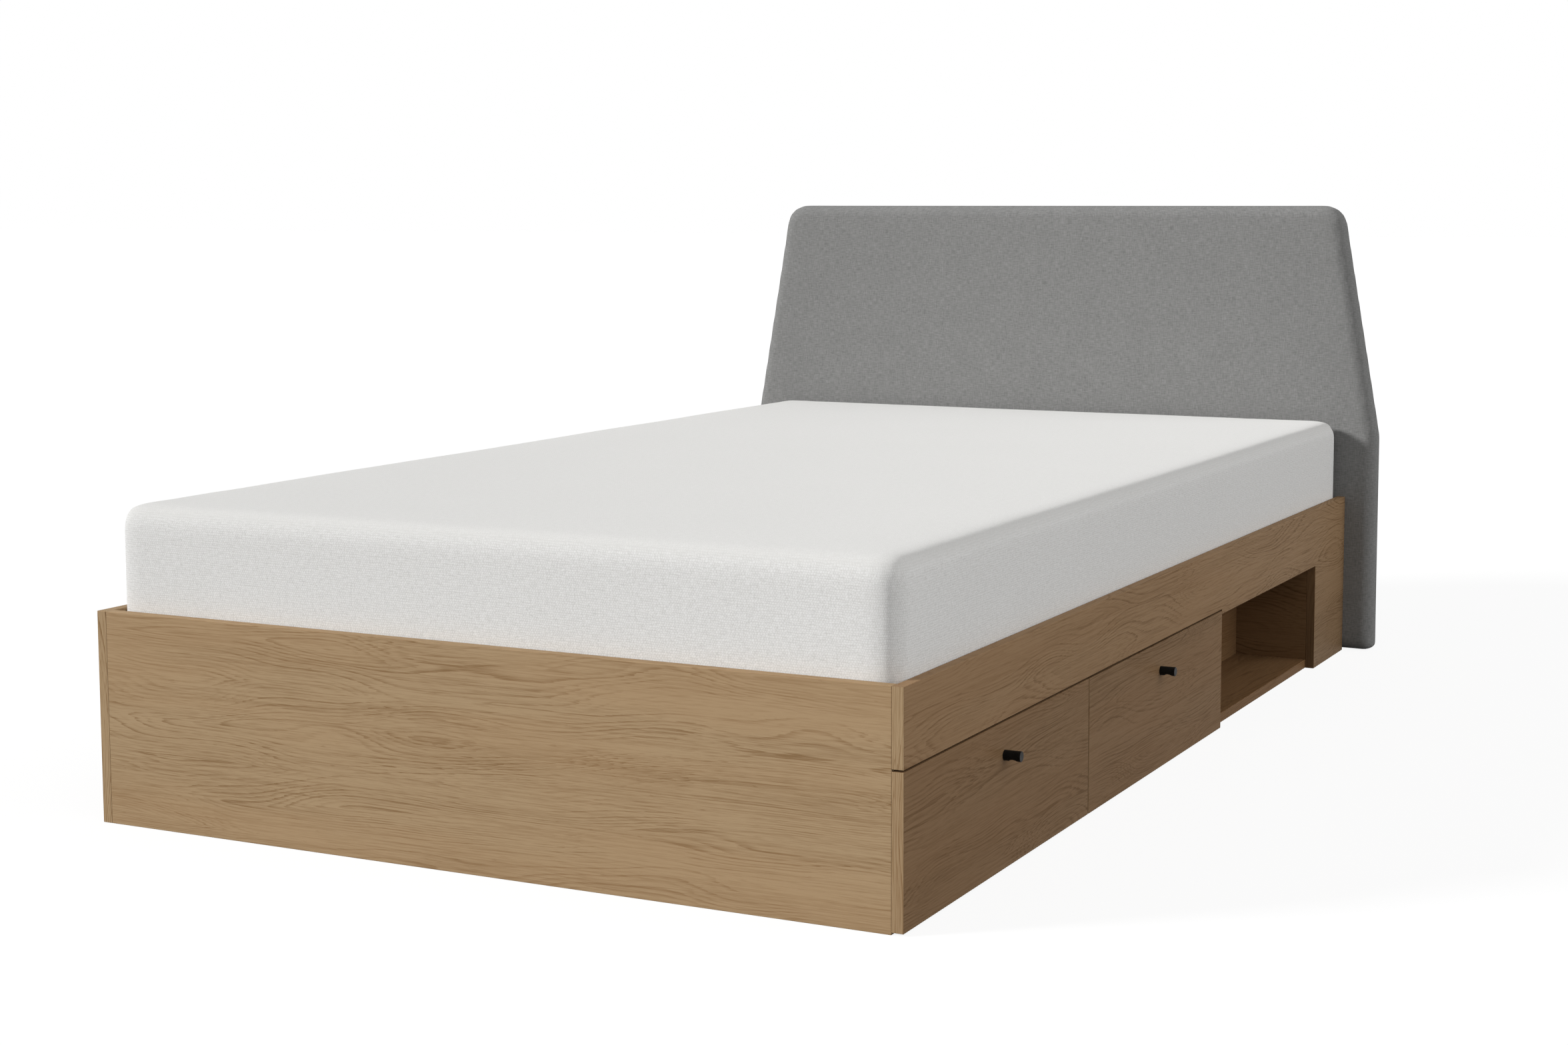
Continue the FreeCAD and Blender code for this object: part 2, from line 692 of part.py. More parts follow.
def drawer(index):
    """One drawer: its face, box, bottom, knob, screws and runners."""
    prefix = f"drawer_{index}"
    face_y = f"({FOOT_Y} + ({FRONT_LENGTH} + drawer_reveal) * {index - 1})"
    start_y = f"({FOOT_Y} + board + ({BAY_LENGTH} + board) * {index - 1} + runner_thickness)"
    middle_y = f"({face_y} + {FRONT_LENGTH} / 2)"
    knob_drill = cylinder(
        f"{prefix}_knob_drill", "knob_screw_radius + drill_gap", "thin_board + board + 2 * overrun",
        (f"({INNER_X} - thin_board - overrun)", middle_y, KNOB_Z), X_AXIS,
    )
    face_drills = [
        cylinder(f"{prefix}_face_drill_{tag}", SCREW_DRILL, "front_screw_length + drill_gap", base, X_AXIS)
        for tag, base in front_screw_places(start_y)
    ]
    face = rounded_block(
        f"{prefix}_front", ("board", FRONT_LENGTH, FRONT_HEIGHT), (INNER_X, face_y, "drawer_reveal")
    )
    node(f"{prefix}_front", cut(f"{prefix}_front", face, face_drills + [knob_drill]))

    groove_size = (
        "(drawer_depth - 2 * thin_board + 2 * groove_depth + 2 * groove_gap)",
        f"({BOX_LENGTH} - 2 * thin_board + 2 * groove_depth + 2 * groove_gap)",
        "(drawer_bottom_thickness + 2 * groove_gap)",
    )
    groove_z = f"({BOX_Z} + drawer_bottom_lift - groove_gap)"
    groove_y = f"({start_y} + thin_board - groove_depth - groove_gap)"
    groove_x = f"({BOX_BACK_X} + thin_board - groove_depth - groove_gap)"
    groove = block(f"{prefix}_groove", groove_size, (groove_x, groove_y, groove_z))

    side_size = ("drawer_depth", "thin_board", "drawer_box_height")
    rail_drills = runner_screws(f"{prefix}_side_drill", index, SCREW_DRILL, False)
    for side, corner_y in (
        ("foot_side", start_y),
        ("head_side", f"({start_y} + {BOX_LENGTH} - thin_board)"),
    ):
        name = f"{prefix}_{side}"
        wall = block(name, side_size, (BOX_BACK_X, corner_y, BOX_Z))
        drills = [item for item in rail_drills if side in item.Name]
        node(name, cut(name, wall, [groove] + drills))
    cross_size = ("thin_board", f"({BOX_LENGTH} - 2 * thin_board)", "drawer_box_height")
    cross_y = f"({start_y} + thin_board)"
    rear = block(f"{prefix}_back", cross_size, (BOX_BACK_X, cross_y, BOX_Z))
    node(f"{prefix}_back", cut(f"{prefix}_back", rear, [groove]))
    inner = block(f"{prefix}_inner_front", cross_size, (f"({INNER_X} - thin_board)", cross_y, BOX_Z))
    node(f"{prefix}_inner_front", cut(f"{prefix}_inner_front", inner, face_drills + [knob_drill, groove]))

    bottom_size = (
        "(drawer_depth - 2 * thin_board + 2 * groove_depth - 2 * groove_gap)",
        f"({BOX_LENGTH} - 2 * thin_board + 2 * groove_depth)",
        "drawer_bottom_thickness",
    )
    bottom_corner = (
        f"({BOX_BACK_X} + thin_board - groove_depth + groove_gap)",
        f"({start_y} + thin_board - groove_depth)",
        f"({BOX_Z} + drawer_bottom_lift)",
    )
    node(f"{prefix}_bottom", block(f"{prefix}_bottom", bottom_size, bottom_corner))

    knob(f"{prefix}_knob", middle_y)
    knob_screw(f"{prefix}_knob_screw", middle_y)
    screws = [
        headed_screw(f"{prefix}_front_screw_{tag}", "wood_screw_radius", "front_screw_length", base, X_AXIS)
        for tag, base in front_screw_places(start_y)
    ]
    node(f"{prefix}_front_screws", group(f"{prefix}_front_screws", screws))
    rail_screws = runner_screws(f"{prefix}_rail_screw", index, "wood_screw_radius", False)
    node(f"{prefix}_rail_screws", group(f"{prefix}_rail_screws", rail_screws))
    runner_set(index)


drawer(1)
drawer(2)
cabinet_screws = []
for index in (1, 2):
    cabinet_screws.extend(runner_screws("cabinet_screw", index, "wood_screw_radius", True))
node("cabinet_rail_screws", group("cabinet_rail_screws", cabinet_screws))


def headboard_form(name, inset, thickness, start_y):
    """The headboard's outline at an inset: upright sides, a shoulder, then sides that lean in."""
    full = f"(headboard_width - 2 * {inset})"
    top = f"(headboard_height - {inset})"
    outline = [
        ("0", inset),
        (full, inset),
        (full, "headboard_shoulder_height"),
        (f"({full} - headboard_lean)", top),
        ("headboard_lean", top),
        ("0", "headboard_shoulder_height"),
    ]
    place_x = f"({inset} - headboard_width / 2)"
    return outline_body(name, "XZ_Plane", outline, thickness, (place_x, start_y, "0"), reverse=True)


def padded_headboard(name, inset, thickness, start_y):
    """A headboard form with all its corners and edges rounded as far as the inset leaves."""
    body = headboard_form(name, inset, thickness, start_y)
    foot = number(inset)
    shoulder = number("headboard_shoulder_height")
    top = number(f"headboard_height - {inset}")

    def corner(edge, level):
        return runs_along(edge, Y_AXIS) and lies_at(edge, "Z", level)

    def rim(edge, level):
        return lies_at(edge, "Y", level) and not lies_at(edge, "Z", foot)

    rounded(body, f"headboard_corner_radius - {inset}", lambda edge: corner(edge, top))
    rounded(body, "headboard_shoulder_radius", lambda edge: corner(edge, shoulder))
    rounded(body, f"headboard_front_radius - {inset}", lambda edge: rim(edge, 0))
    rounded(body, f"headboard_back_radius - {inset}", lambda edge: rim(edge, number(thickness)))
    return body


# Upholstered headboard: fabric cover, foam, board and back lining
cover_form = padded_headboard("headboard_cover", "0", "headboard_thickness", HEAD_Y)
cover_inside = padded_headboard(
    "headboard_inside", "headboard_fabric", "(headboard_thickness - 2 * headboard_fabric)",
    f"({HEAD_Y} + headboard_fabric)",
)
cover_bores = bolt_bores(
    "cover_bore", f"({HEAD_Y} - overrun)", "headboard_fabric + 2 * overrun", "spacer_radius + drill_gap"
)
node("headboard_cover", cut("headboard_cover", cover_form, [cover_inside] + cover_bores))
FOAM_INSET = "(headboard_fabric + drill_gap)"
foam_form = padded_headboard(
    "headboard_foam", FOAM_INSET, f"(headboard_thickness - 2 * {FOAM_INSET})", f"({HEAD_Y} + {FOAM_INSET})"
)
core_form = headboard_form("headboard_core", "headboard_core_inset", "headboard_core_thickness", CORE_Y)
foam_bores = bolt_bores("foam_bore", HEAD_Y, f"({CORE_Y} - {HEAD_Y})", "spacer_radius + drill_gap")
flange_bores = bolt_bores(
    "flange_bore", f"({TEE_NUT_Y} - overrun)", "tee_nut_flange + drill_gap + overrun",
    "tee_nut_flange_radius + drill_gap",
)
node("headboard_foam", cut("headboard_foam", foam_form, [core_form] + foam_bores + flange_bores))
barrel_bores = bolt_bores(
    "barrel_bore", f"({CORE_Y} - overrun)", "headboard_core_thickness + 2 * overrun",
    "tee_nut_barrel_radius + drill_gap",
)
node("headboard_core", cut("headboard_core", core_form, barrel_bores))
LINING_Y = f"({HEAD_Y} + headboard_thickness)"
lining = headboard_form("headboard_lining", "lining_inset", "lining_thickness", LINING_Y)
node("headboard_back_lining", lining)

# Bolts from inside the box, spacer tubes through the padding and tee nuts in the board
PADDING = f"({CORE_Y} - {HEAD_Y})"
BOLT_DRILL = "bolt_radius + drill_gap"
bolts, spacers, tee_nuts = [], [], []
for across, up, tag in bolt_places():
    panel = (across, HEAD_PANEL_Y, up)
    head = cylinder(f"bolt_head_{tag}", "bolt_head_radius", "bolt_head_height", panel, Y_AXIS * -1)
    shank = cylinder(f"bolt_shank_{tag}", "bolt_radius", f"({TEE_NUT_Y} - {HEAD_PANEL_Y})", panel, Y_AXIS)
    bolts.append(fuse(f"bolt_{tag}", [head, shank]))
    tube = cylinder(f"spacer_tube_{tag}", "spacer_radius", PADDING, (across, HEAD_Y, up), Y_AXIS)
    bore = cylinder(
        f"spacer_bore_{tag}", BOLT_DRILL, f"({PADDING} + 2 * overrun)",
        (across, f"({HEAD_Y} - overrun)", up), Y_AXIS,
    )
    spacers.append(cut(f"spacer_{tag}", tube, [bore]))
    barrel = cylinder(
        f"tee_barrel_{tag}", "tee_nut_barrel_radius", "headboard_core_thickness", (across, CORE_Y, up), Y_AXIS
    )
    flange = cylinder(
        f"tee_flange_{tag}", "tee_nut_flange_radius", "tee_nut_flange", (across, TEE_NUT_Y, up), Y_AXIS
    )
    nut_bore = cylinder(
        f"tee_bore_{tag}", BOLT_DRILL, "headboard_core_thickness + tee_nut_flange + 2 * overrun",
        (across, f"({CORE_Y} - overrun)", up), Y_AXIS,
    )
    tee_nuts.append(cut(f"tee_nut_{tag}", fuse(f"tee_solid_{tag}", [barrel, flange]), [nut_bore]))
node("headboard_bolts", group("headboard_bolts", bolts))
node("headboard_spacers", group("headboard_spacers", spacers))
node("headboard_tee_nuts", group("headboard_tee_nuts", tee_nuts))


def arched(start, end, rise):
    """An edge from start to end that arches outwards, to the right of its way along XZ."""
    along = end - start
    outwards = FreeCAD.Vector(along.z, 0, -along.x).normalize()
    return Part.Arc(start, (start + end) / 2 + outwards * rise, end).toShape()


def mattress_form(name, inset):
    """A mattress with a crowned top, slightly full sides and rounded edges, at an inset."""
    bulge = number("mattress_side_bulge")
    crown = number("mattress_crown")
    width = number(f"mattress_width - 2 * mattress_side_bulge - 2 * {inset}")
    height = number(f"mattress_height - mattress_crown - 2 * {inset}")
    length = number(f"mattress_length - 2 * {inset}")
    low_left, low_right = FreeCAD.Vector(-width / 2, 0, 0), FreeCAD.Vector(width / 2, 0, 0)
    top_left, top_right = FreeCAD.Vector(-width / 2, 0, height), FreeCAD.Vector(width / 2, 0, height)
    section = Part.Wire([
        Part.LineSegment(low_left, low_right).toShape(),
        arched(low_right, top_right, bulge),
        arched(top_right, top_left, crown),
        arched(top_left, low_left, bulge),
    ])
    solid = Part.Face(section).extrude(Y_AXIS * length)
    for radius, chosen in (
        ("mattress_corner_radius", lambda edge: edge.BoundBox.ZLength > height / 2),
        ("mattress_top_radius", lambda edge: edge.BoundBox.ZMin > height / 2),
        ("mattress_base_radius", lambda edge: edge.BoundBox.ZMax < height / 2),
    ):
        edges = [edge for edge in solid.Edges if chosen(edge)]
        solid = solid.makeFillet(number(f"{radius} - {inset}"), edges)
    item = doc.addObject("Part::Feature", f"{name}_form")
    item.Shape = solid
    across = f"{WELL_Y} + mattress_end_gap + {inset}"
    up = f"{SLAT_TOP} + soft_gap + {inset}"
    item.Placement = FreeCAD.Placement(FreeCAD.Vector(0, number(across), number(up)), FreeCAD.Rotation())
    return item


# Mattress: foam core in a knitted cover
mattress_outside = mattress_form("mattress_cover", "0")
mattress_inside = mattress_form("mattress_inside", "mattress_cover_wall")
node("mattress_cover", cut("mattress_cover", mattress_outside, [mattress_inside]))
node("mattress_core", mattress_form("mattress_core", "(mattress_cover_wall + drill_gap)"))

doc.recompute()
for item in doc.Objects:
    if "Invalid" in item.State or "Error" in item.State:
        raise RuntimeError(f"{item.Name} failed: {item.State}")
for name, item in nodes.items():
    if item.Shape.isNull() or not item.Shape.isValid() or item.Shape.Volume <= 0:
        raise RuntimeError(f"{name} has no valid shape")

os.makedirs("parts", exist_ok=True)
for name, item in nodes.items():
    item.Shape.exportStep(os.path.join("parts", f"{name}.step"))
whole = Part.makeCompound([item.Shape for item in nodes.values()]).BoundBox
print(f"{len(nodes)} pieces, X {whole.XMin:.2f} {whole.XMax:.2f}, Y {whole.YMin:.2f} {whole.YMax:.2f}, "
      f"Z {whole.ZMin:.2f} {whole.ZMax:.2f}")
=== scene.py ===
"""The youth bed's looks: materials, soft pieces, light and camera. All lengths are in metres."""
import json
import math

import bmesh
import bpy
from mathutils import Matrix, Vector, noise


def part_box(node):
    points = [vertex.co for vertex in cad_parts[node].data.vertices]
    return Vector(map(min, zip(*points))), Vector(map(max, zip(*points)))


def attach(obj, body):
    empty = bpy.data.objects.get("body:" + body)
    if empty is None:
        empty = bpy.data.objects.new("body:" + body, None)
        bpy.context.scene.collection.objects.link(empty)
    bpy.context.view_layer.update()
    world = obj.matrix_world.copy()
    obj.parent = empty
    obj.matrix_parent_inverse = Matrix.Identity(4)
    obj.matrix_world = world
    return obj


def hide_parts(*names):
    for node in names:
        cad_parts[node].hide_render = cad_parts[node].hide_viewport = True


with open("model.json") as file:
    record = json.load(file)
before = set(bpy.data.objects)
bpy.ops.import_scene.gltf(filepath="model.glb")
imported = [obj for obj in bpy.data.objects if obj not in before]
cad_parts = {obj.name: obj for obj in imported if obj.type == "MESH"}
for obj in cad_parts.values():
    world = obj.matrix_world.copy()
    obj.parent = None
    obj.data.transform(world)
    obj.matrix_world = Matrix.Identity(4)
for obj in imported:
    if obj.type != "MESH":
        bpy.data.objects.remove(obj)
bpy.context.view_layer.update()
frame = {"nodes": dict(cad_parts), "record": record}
nodes = frame["nodes"]

# ---------------------------------------------------------------- shader nodes


class Nodes:
    """A node tree whose nodes are added one after another."""

    def __init__(self, tree):
        self.tree = tree
        tree.nodes.clear()

    def add(self, kind, inputs=None, **settings):
        """A node with its settings, whose inputs are numbers, colours or other nodes' outputs."""
        made = self.tree.nodes.new(kind)
        for key, value in settings.items():
            setattr(made, key, value)
        for key, value in (inputs or {}).items():
            if isinstance(value, bpy.types.NodeSocket):
                self.tree.links.new(value, made.inputs[key])
            else:
                made.inputs[key].default_value = value
        return made

    def split(self, vector):
        return self.add("ShaderNodeSeparateXYZ", {0: vector}).outputs[:3]

    def join(self, x, y, z):
        return self.add("ShaderNodeCombineXYZ", {0: x, 1: y, 2: z}).outputs[0]

    def math(self, operation, *values, clamp=False):
        inputs = dict(enumerate(values))
        made = self.add("ShaderNodeMath", inputs, operation=operation, use_clamp=clamp)
        return made.outputs[0]

    def noise(self, vector, detail=2.0, roughness=0.5):
        settings = {"Vector": vector, "Scale": 1.0, "Detail": detail, "Roughness": roughness}
        return self.add("ShaderNodeTexNoise", settings).outputs[0]

    def waves(self, point, along, across, **settings):
        """Noise with about this many waves to the metre along and across a point's first axis."""
        rates = {0: point, 1: (along, across, across)}
        stretched = self.add("ShaderNodeVectorMath", rates, operation="MULTIPLY").outputs[0]
        return self.noise(stretched, **settings)

    def span(self, value, low, high, to_low=0.0, to_high=1.0):
        """The value moved smoothly from one range into another, clamped at both ends."""
        inputs = {
            "Value": value, "From Min": low, "From Max": high, "To Min": to_low, "To Max": to_high,
        }
        made = self.add("ShaderNodeMapRange", inputs, interpolation_type="SMOOTHSTEP", clamp=True)
        return made.outputs[0]

    def mix(self, factor, *colours):
        """A colour between two colours."""
        inputs = {0: factor}
        for index, colour in enumerate(colours, start=6):
            inputs[index] = (*colour, 1.0) if isinstance(colour, tuple) else colour
        made = self.add("ShaderNodeMix", inputs, data_type="RGBA", clamp_factor=True)
        return made.outputs[2]

    def bump(self, height, distance, strength):
        inputs = {"Height": height, "Distance": distance, "Strength": strength}
        return self.add("ShaderNodeBump", inputs).outputs[0]


class Shader(Nodes):
    """A material's nodes, with the point and the normal that they start from."""

    def __init__(self, name):
        self.material = bpy.data.materials.new(name)
        self.material.use_nodes = True
        super().__init__(self.material.node_tree)
        coords = self.add("ShaderNodeTexCoord")
        self.point = coords.outputs["Object"]
        self.normal = coords.outputs["Normal"]
        self.x, self.y, self.z = self.split(self.point)

    def even(self, rate):
        """Noise with about this many waves to the metre every way."""
        return self.waves(self.point, rate, rate)

    def finish(self, **inputs):
        """The surface, from the shader's own input names with _ for spaces."""
        named = {key.replace("_", " "): value for key, value in inputs.items()}
        surface = self.add("ShaderNodeBsdfPrincipled", named)
        self.add("ShaderNodeOutputMaterial", {"Surface": surface.outputs[0]})
        return self.material


def linked(name, data):
    """A new object in the scene."""
    made = bpy.data.objects.new(name, data)
    bpy.context.scene.collection.objects.link(made)
    return made


# ---------------------------------------------------------------- wood and boards


def grain_point(shader, along, shift, facing):
    """A point with its first axis along the grain, or upwards on the edge bands across it."""
    axes = {"X": shader.x, "Y": shader.y, "Z": shader.z}

    def turned(first):
        others = [axes[a] for a in "XYZ" if a != first]
        return shader.join(axes[first], *others)

    placed = turned(along)
    if facing is not None:
        inputs = {0: facing, 4: placed, 5: turned("Z")}
        placed = shader.add("ShaderNodeMix", inputs, data_type="VECTOR").outputs[1]
    return shader.add("ShaderNodeVectorMath", {0: placed, 1: shift}, operation="ADD").outputs[0]


OAK_PITCH = 0.0048  # from one growth ring to the next
STRIP_WIDTH = 0.105  # from one middle line of the arches to the next
WANDER = 0.20  # how far those lines wander
TIP_SQUARED = 0.000008  # rounds the arches' tips
FEATHER = 0.050  # how far the rings' ends fray along the grain
GROUND = 0.16  # how dark the plain ground is, from light to dark
# Painted shade: the levels between which a board darkens towards the floor
FLOOR_SHADE_LEVELS = 0.02, 0.26  # between which a foot tone gives way to the board's own

# How much each layer darkens the wood
LATE_SHARE, FLECK_SHARE, DRIFT_SHARE = 0.98, 0.30, 0.32
FIBRE_SHARE, FINE_SHARE, BROAD_SHARE = 1.55, 1.10, 0.70

# How many rings each layer bends the arches by
ARCH_RINGS, BEND_RINGS, FEATHER_RINGS = 24.0, 1.6, 0.5

# Waves to the metre along and across the grain
WANDER_WAVES, FEATHER_WAVES = (1.1, 3.0), (16.0, 460.0)
ARCH_WAVES, BEND_WAVES = (2.7, 8.5), (2.6, 32.0)
STREAK_WAVES, GAP_WAVES = (28.0, 1000.0), (5.0, 26.0)
FIBRE_WAVES, FINE_WAVES, BROAD_WAVES = (6.0, 540.0), (40.0, 1100.0), (1.1, 24.0)
FLECK_WAVES, DRIFT_WAVES = (55.0, 260.0), (1.6, 11.0)


def wood(
    name, along, seed, light, dark, contrast, pitch=OAK_PITCH, edge=None, shaded_niche_edge=None,
    floor_shade_tone=1.0,
):
    """Flat-sawn wood decor: arches of growth rings, fibres, flecks and slow changes of hue.

    An edge is the light and dark tone of the bands across the grain, and a shaded niche edge that
    of the bands beyond the bed's middle, darker there as painted shade. The floor shade tone is
    what the colour is scaled by at the floor, a painted shade darkening towards it.
    """
    shader = Shader(name)

    # Each board takes its own place in the pattern
    shift = (seed * 1.37 % 7.0, seed * 0.291 % 5.0, seed * 0.53 % 3.0)
    facing = None
    if edge:
        across = dict(zip("XYZ", shader.split(shader.normal)))[along]
        facing = shader.span(shader.math("ABSOLUTE", across), 0.6, 0.7)
    point = grain_point(shader, along, shift, facing)
    length, across, depth = shader.split(point)

    # Growth rings fold along wandering middle lines, into arches that point both ways
    wander = shader.waves(point, *WANDER_WAVES)
    wandered = shader.math("MULTIPLY_ADD", wander, WANDER, shader.math("ADD", across, depth))
    strip = shader.math("FRACT", shader.math("DIVIDE", wandered, STRIP_WIDTH))
    aside = shader.math("MULTIPLY", shader.math("SUBTRACT", strip, 0.5), STRIP_WIDTH)
    rounded = shader.math("SQRT", shader.math("MULTIPLY_ADD", aside, aside, TIP_SQUARED))
    feather = shader.waves(point, *FEATHER_WAVES)
    frayed = shader.join(shader.math("MULTIPLY_ADD", feather, FEATHER, length), across, depth)
    field = shader.math("DIVIDE", rounded, pitch)
    for layer, rings in (
        (shader.waves(frayed, *ARCH_WAVES, detail=1.0, roughness=0.4), ARCH_RINGS),
        (shader.waves(point, *BEND_WAVES), BEND_RINGS),
        (feather, FEATHER_RINGS),
    ):
        field = shader.math("MULTIPLY_ADD", layer, rings, field)

    # Late wood darkens towards each ring's end, each ring by its own strength, with gaps
    ring = shader.math("FRACT", field)
    whole = shader.math("FLOOR", field)
    random = shader.add("ShaderNodeTexWhiteNoise", {"W": whole}, noise_dimensions="1D")
    own = random.outputs["Value"]
    streak = shader.waves(point, *STREAK_WAVES, detail=1.0)
    gap = shader.waves(point, *GAP_WAVES, detail=1.0)
    late = shader.span(ring, 0.35, 0.88)
    for share in (
        shader.span(ring, 0.90, 1.0, 1.0, 0.0),
        shader.math("MULTIPLY_ADD", own, 0.85, 0.20),
        shader.span(streak, 0.34, 0.60, 0.45, 1.0),
        shader.span(gap, 0.32, 0.58, 0.20, 1.0),
    ):
        late = shader.math("MULTIPLY", late, share)

    # Fibres and small dark flecks lie along the grain
    fibre = shader.waves(point, *FIBRE_WAVES, roughness=0.6)
    fleck = shader.span(shader.waves(point, *FLECK_WAVES, detail=1.0), 0.72, 0.80)
    amount = shader.math("MULTIPLY", late, LATE_SHARE * contrast)
    for layer, share in (
        (fibre, FIBRE_SHARE),
        (shader.waves(point, *FINE_WAVES), FINE_SHARE),
        (shader.waves(point, *BROAD_WAVES), BROAD_SHARE),
    ):
        centred = shader.math("SUBTRACT", layer, 0.5)
        amount = shader.math("MULTIPLY_ADD", centred, share * contrast, amount)
    amount = shader.math("MULTIPLY_ADD", fleck, FLECK_SHARE * contrast, amount)
    amount = shader.math("ADD", amount, GROUND, clamp=True)
    colour = shader.mix(amount, light, dark)
    if edge:
        band = shader.mix(amount, *edge)
        # Painted shade: edge bands beyond the bed's middle, in the niche, take the darker niche
        # tone
        if shaded_niche_edge:
            in_niche_shade = shader.math("GREATER_THAN", shader.y, 0.0)
            band = shader.mix(in_niche_shade, band, shader.mix(amount, *shaded_niche_edge))
        colour = shader.mix(facing, colour, band)

    # Slow drift between a greener and a redder brown
    drift = shader.span(shader.waves(point, *DRIFT_WAVES), 0.35, 0.65)
    redder = tuple(c * k for c, k in zip(light, (1.0, 0.92, 0.86)))
    colour = shader.mix(shader.math("MULTIPLY", drift, DRIFT_SHARE), colour, redder)

    # Painted shade: a board that reaches the floor darkens towards it, down to the tone of the
    # darker drawers beside it
    if floor_shade_tone < 1.0:
        factor = shader.span(shader.z, *FLOOR_SHADE_LEVELS, floor_shade_tone, 1.0)
        scaled = {0: colour, "Scale": factor}
        colour = shader.add("ShaderNodeVectorMath", scaled, operation="SCALE").outputs[0]

    height = shader.math("MULTIPLY_ADD", fibre, 0.6, shader.math("MULTIPLY", late, -0.4))
    rough = shader.math("MULTIPLY_ADD", fibre, 0.14, 0.43)
    return shader.finish(
        Base_Color=colour, Roughness=rough, Specular_IOR_Level=0.02,
        Normal=shader.bump(height, 0.00012, 0.5),
    )


OAK_LIGHT = (0.438, 0.310, 0.181)
OAK_DARK = (0.257, 0.156, 0.075)
# Darker copies of the oak's own tones, painted shade: the right side and inner boards, darker still
# the drawers near the floor, darkest the niche's boards
SHADED_OAK_SIDE_LIGHT = (0.338, 0.218, 0.120)
SHADED_OAK_SIDE_DARK = (0.186, 0.107, 0.051)
SHADED_OAK_DRAWER_LIGHT = (0.257, 0.161, 0.087)
SHADED_OAK_DRAWER_DARK = (0.139, 0.078, 0.035)
SHADED_OAK_NICHE_LIGHT = (0.225, 0.130, 0.062)
SHADED_OAK_NICHE_DARK = (0.115, 0.058, 0.023)
PINE_LIGHT = (0.740, 0.560, 0.330)
PINE_DARK = (0.520, 0.320, 0.140)


def raw_board(name):
    """Bare particle board: pressed chips in tan and brown."""
    shader = Shader(name)
    chips = shader.add("ShaderNodeTexVoronoi", {"Vector": shader.point, "Scale": 420.0})
    tone = shader.split(chips.outputs["Color"])[0]
    dust = shader.even(900.0)
    amount = shader.math("MULTIPLY_ADD", tone, 0.55, shader.math("MULTIPLY", dust, 0.45))
    colour = shader.mix(amount, (0.30, 0.20, 0.11), (0.58, 0.44, 0.27))
    return shader.finish(Base_Color=colour, Roughness=0.85, Normal=shader.bump(tone, 0.0002, 0.4))


def melamine(name):
    """Pale board for the drawer boxes, printed with a fine linen."""
    shader = Shader(name)
    turned = shader.join(shader.z, shader.x, shader.y)
    across, along = (shader.waves(point, 90.0, 1400.0) for point in (shader.point, turned))
    linen = shader.math("MULTIPLY", shader.math("ADD", across, along), 0.5)
    slow = shader.even(6.0)
    amount = shader.math("MULTIPLY_ADD", slow, 0.3, shader.math("MULTIPLY", linen, 0.7))
    colour = shader.mix(amount, (0.58, 0.56, 0.51), (0.74, 0.72, 0.67))
    return shader.finish(Base_Color=colour, Roughness=0.55, Normal=shader.bump(linen, 0.0001, 0.5))


# ---------------------------------------------------------------- metal and plastic


def zinc(name):
    """Zinc plate with faint spangles and rubbed streaks."""
    shader = Shader(name)
    flakes = shader.add("ShaderNodeTexVoronoi", {"Vector": shader.point, "Scale": 260.0})
    tone = shader.split(flakes.outputs["Color"])[0]
    rubbed = shader.waves(shader.point, 12.0, 500.0)
    amount = shader.math("MULTIPLY_ADD", rubbed, 0.6, shader.math("MULTIPLY", tone, 0.4))
    colour = shader.mix(amount, (0.52, 0.53, 0.54), (0.74, 0.75, 0.75))
    rough = shader.math("MULTIPLY_ADD", rubbed, 0.22, 0.24)
    return shader.finish(
        Base_Color=colour, Metallic=1.0, Roughness=rough, Normal=shader.bump(rubbed, 0.00004, 0.4)
    )


def powder_coat(name):
    """Matte black powder coat with a fine orange peel."""
    shader = Shader(name)
    peel = shader.even(900.0)
    slow = shader.even(140.0)
    colour = shader.mix(slow, (0.003, 0.003, 0.003), (0.008, 0.007, 0.006))
    rough = shader.math("MULTIPLY_ADD", slow, 0.16, 0.34)
    return shader.finish(
        Base_Color=colour, Roughness=rough, Specular_IOR_Level=0.09,
        Normal=shader.bump(peel, 0.00005, 0.5),
    )


def plastic(name):
    """Milky runner plastic."""
    shader = Shader(name)
    slow = shader.even(120.0)
    colour = shader.mix(slow, (0.60, 0.60, 0.57), (0.72, 0.72, 0.69))
    return shader.finish(Base_Color=colour, Roughness=0.5, Normal=shader.bump(slow, 0.00003, 0.5))


# ---------------------------------------------------------------- cloth


def cloth_axes(shader, face_y):
    """How far round the piece a point is from the middle of its face, and how high it is.

    Where the surface lies flat, it is the point's place from above.
    """
    upwards = shader.math("ABSOLUTE", shader.split(shader.normal)[2])
    flat = shader.math("GREATER_THAN", upwards, 0.70)
    behind = shader.math("SUBTRACT", shader.y, face_y)
    around = shader.math("MULTIPLY_ADD", behind, shader.math("SIGN", shader.x), shader.x)
    axes = []
    for upright, level in ((around, shader.x), (shader.z, shader.y)):
        change = shader.math("MULTIPLY", flat, shader.math("SUBTRACT", level, upright))
        axes.append(shader.math("ADD", upright, change))
    return axes


def threads(shader, along, across, length, width, seed, detail=1.0):
    """Uneven threads of about this length and width."""
    point = shader.join(
        shader.math("DIVIDE", along, length), shader.math("DIVIDE", across, width), seed
    )
    return shader.noise(point, detail=detail, roughness=0.55)


KNIT_ROW, KNIT_COLUMN = 0.0030, 0.0036
THREAD_LENGTH, WEFT_WIDTH, WARP_WIDTH = 0.010, 0.0024, 0.0026
GRAIN_LENGTH = 0.0032
WANDER_SIZE = 0.014, 0.007
ROW_WANDER, COLUMN_WANDER = 1.6, 2.4
KNIT_MIDDLE = 1.16  # what the yarns add up to on average
# Painted light and shade: the knit's tone is lighter where it stands upright and darker where it
# lies level
UPRIGHT_LIT_TONE, LEVEL_SHADED_TONE = 0.70, 0.39  # of its upright and its level sides


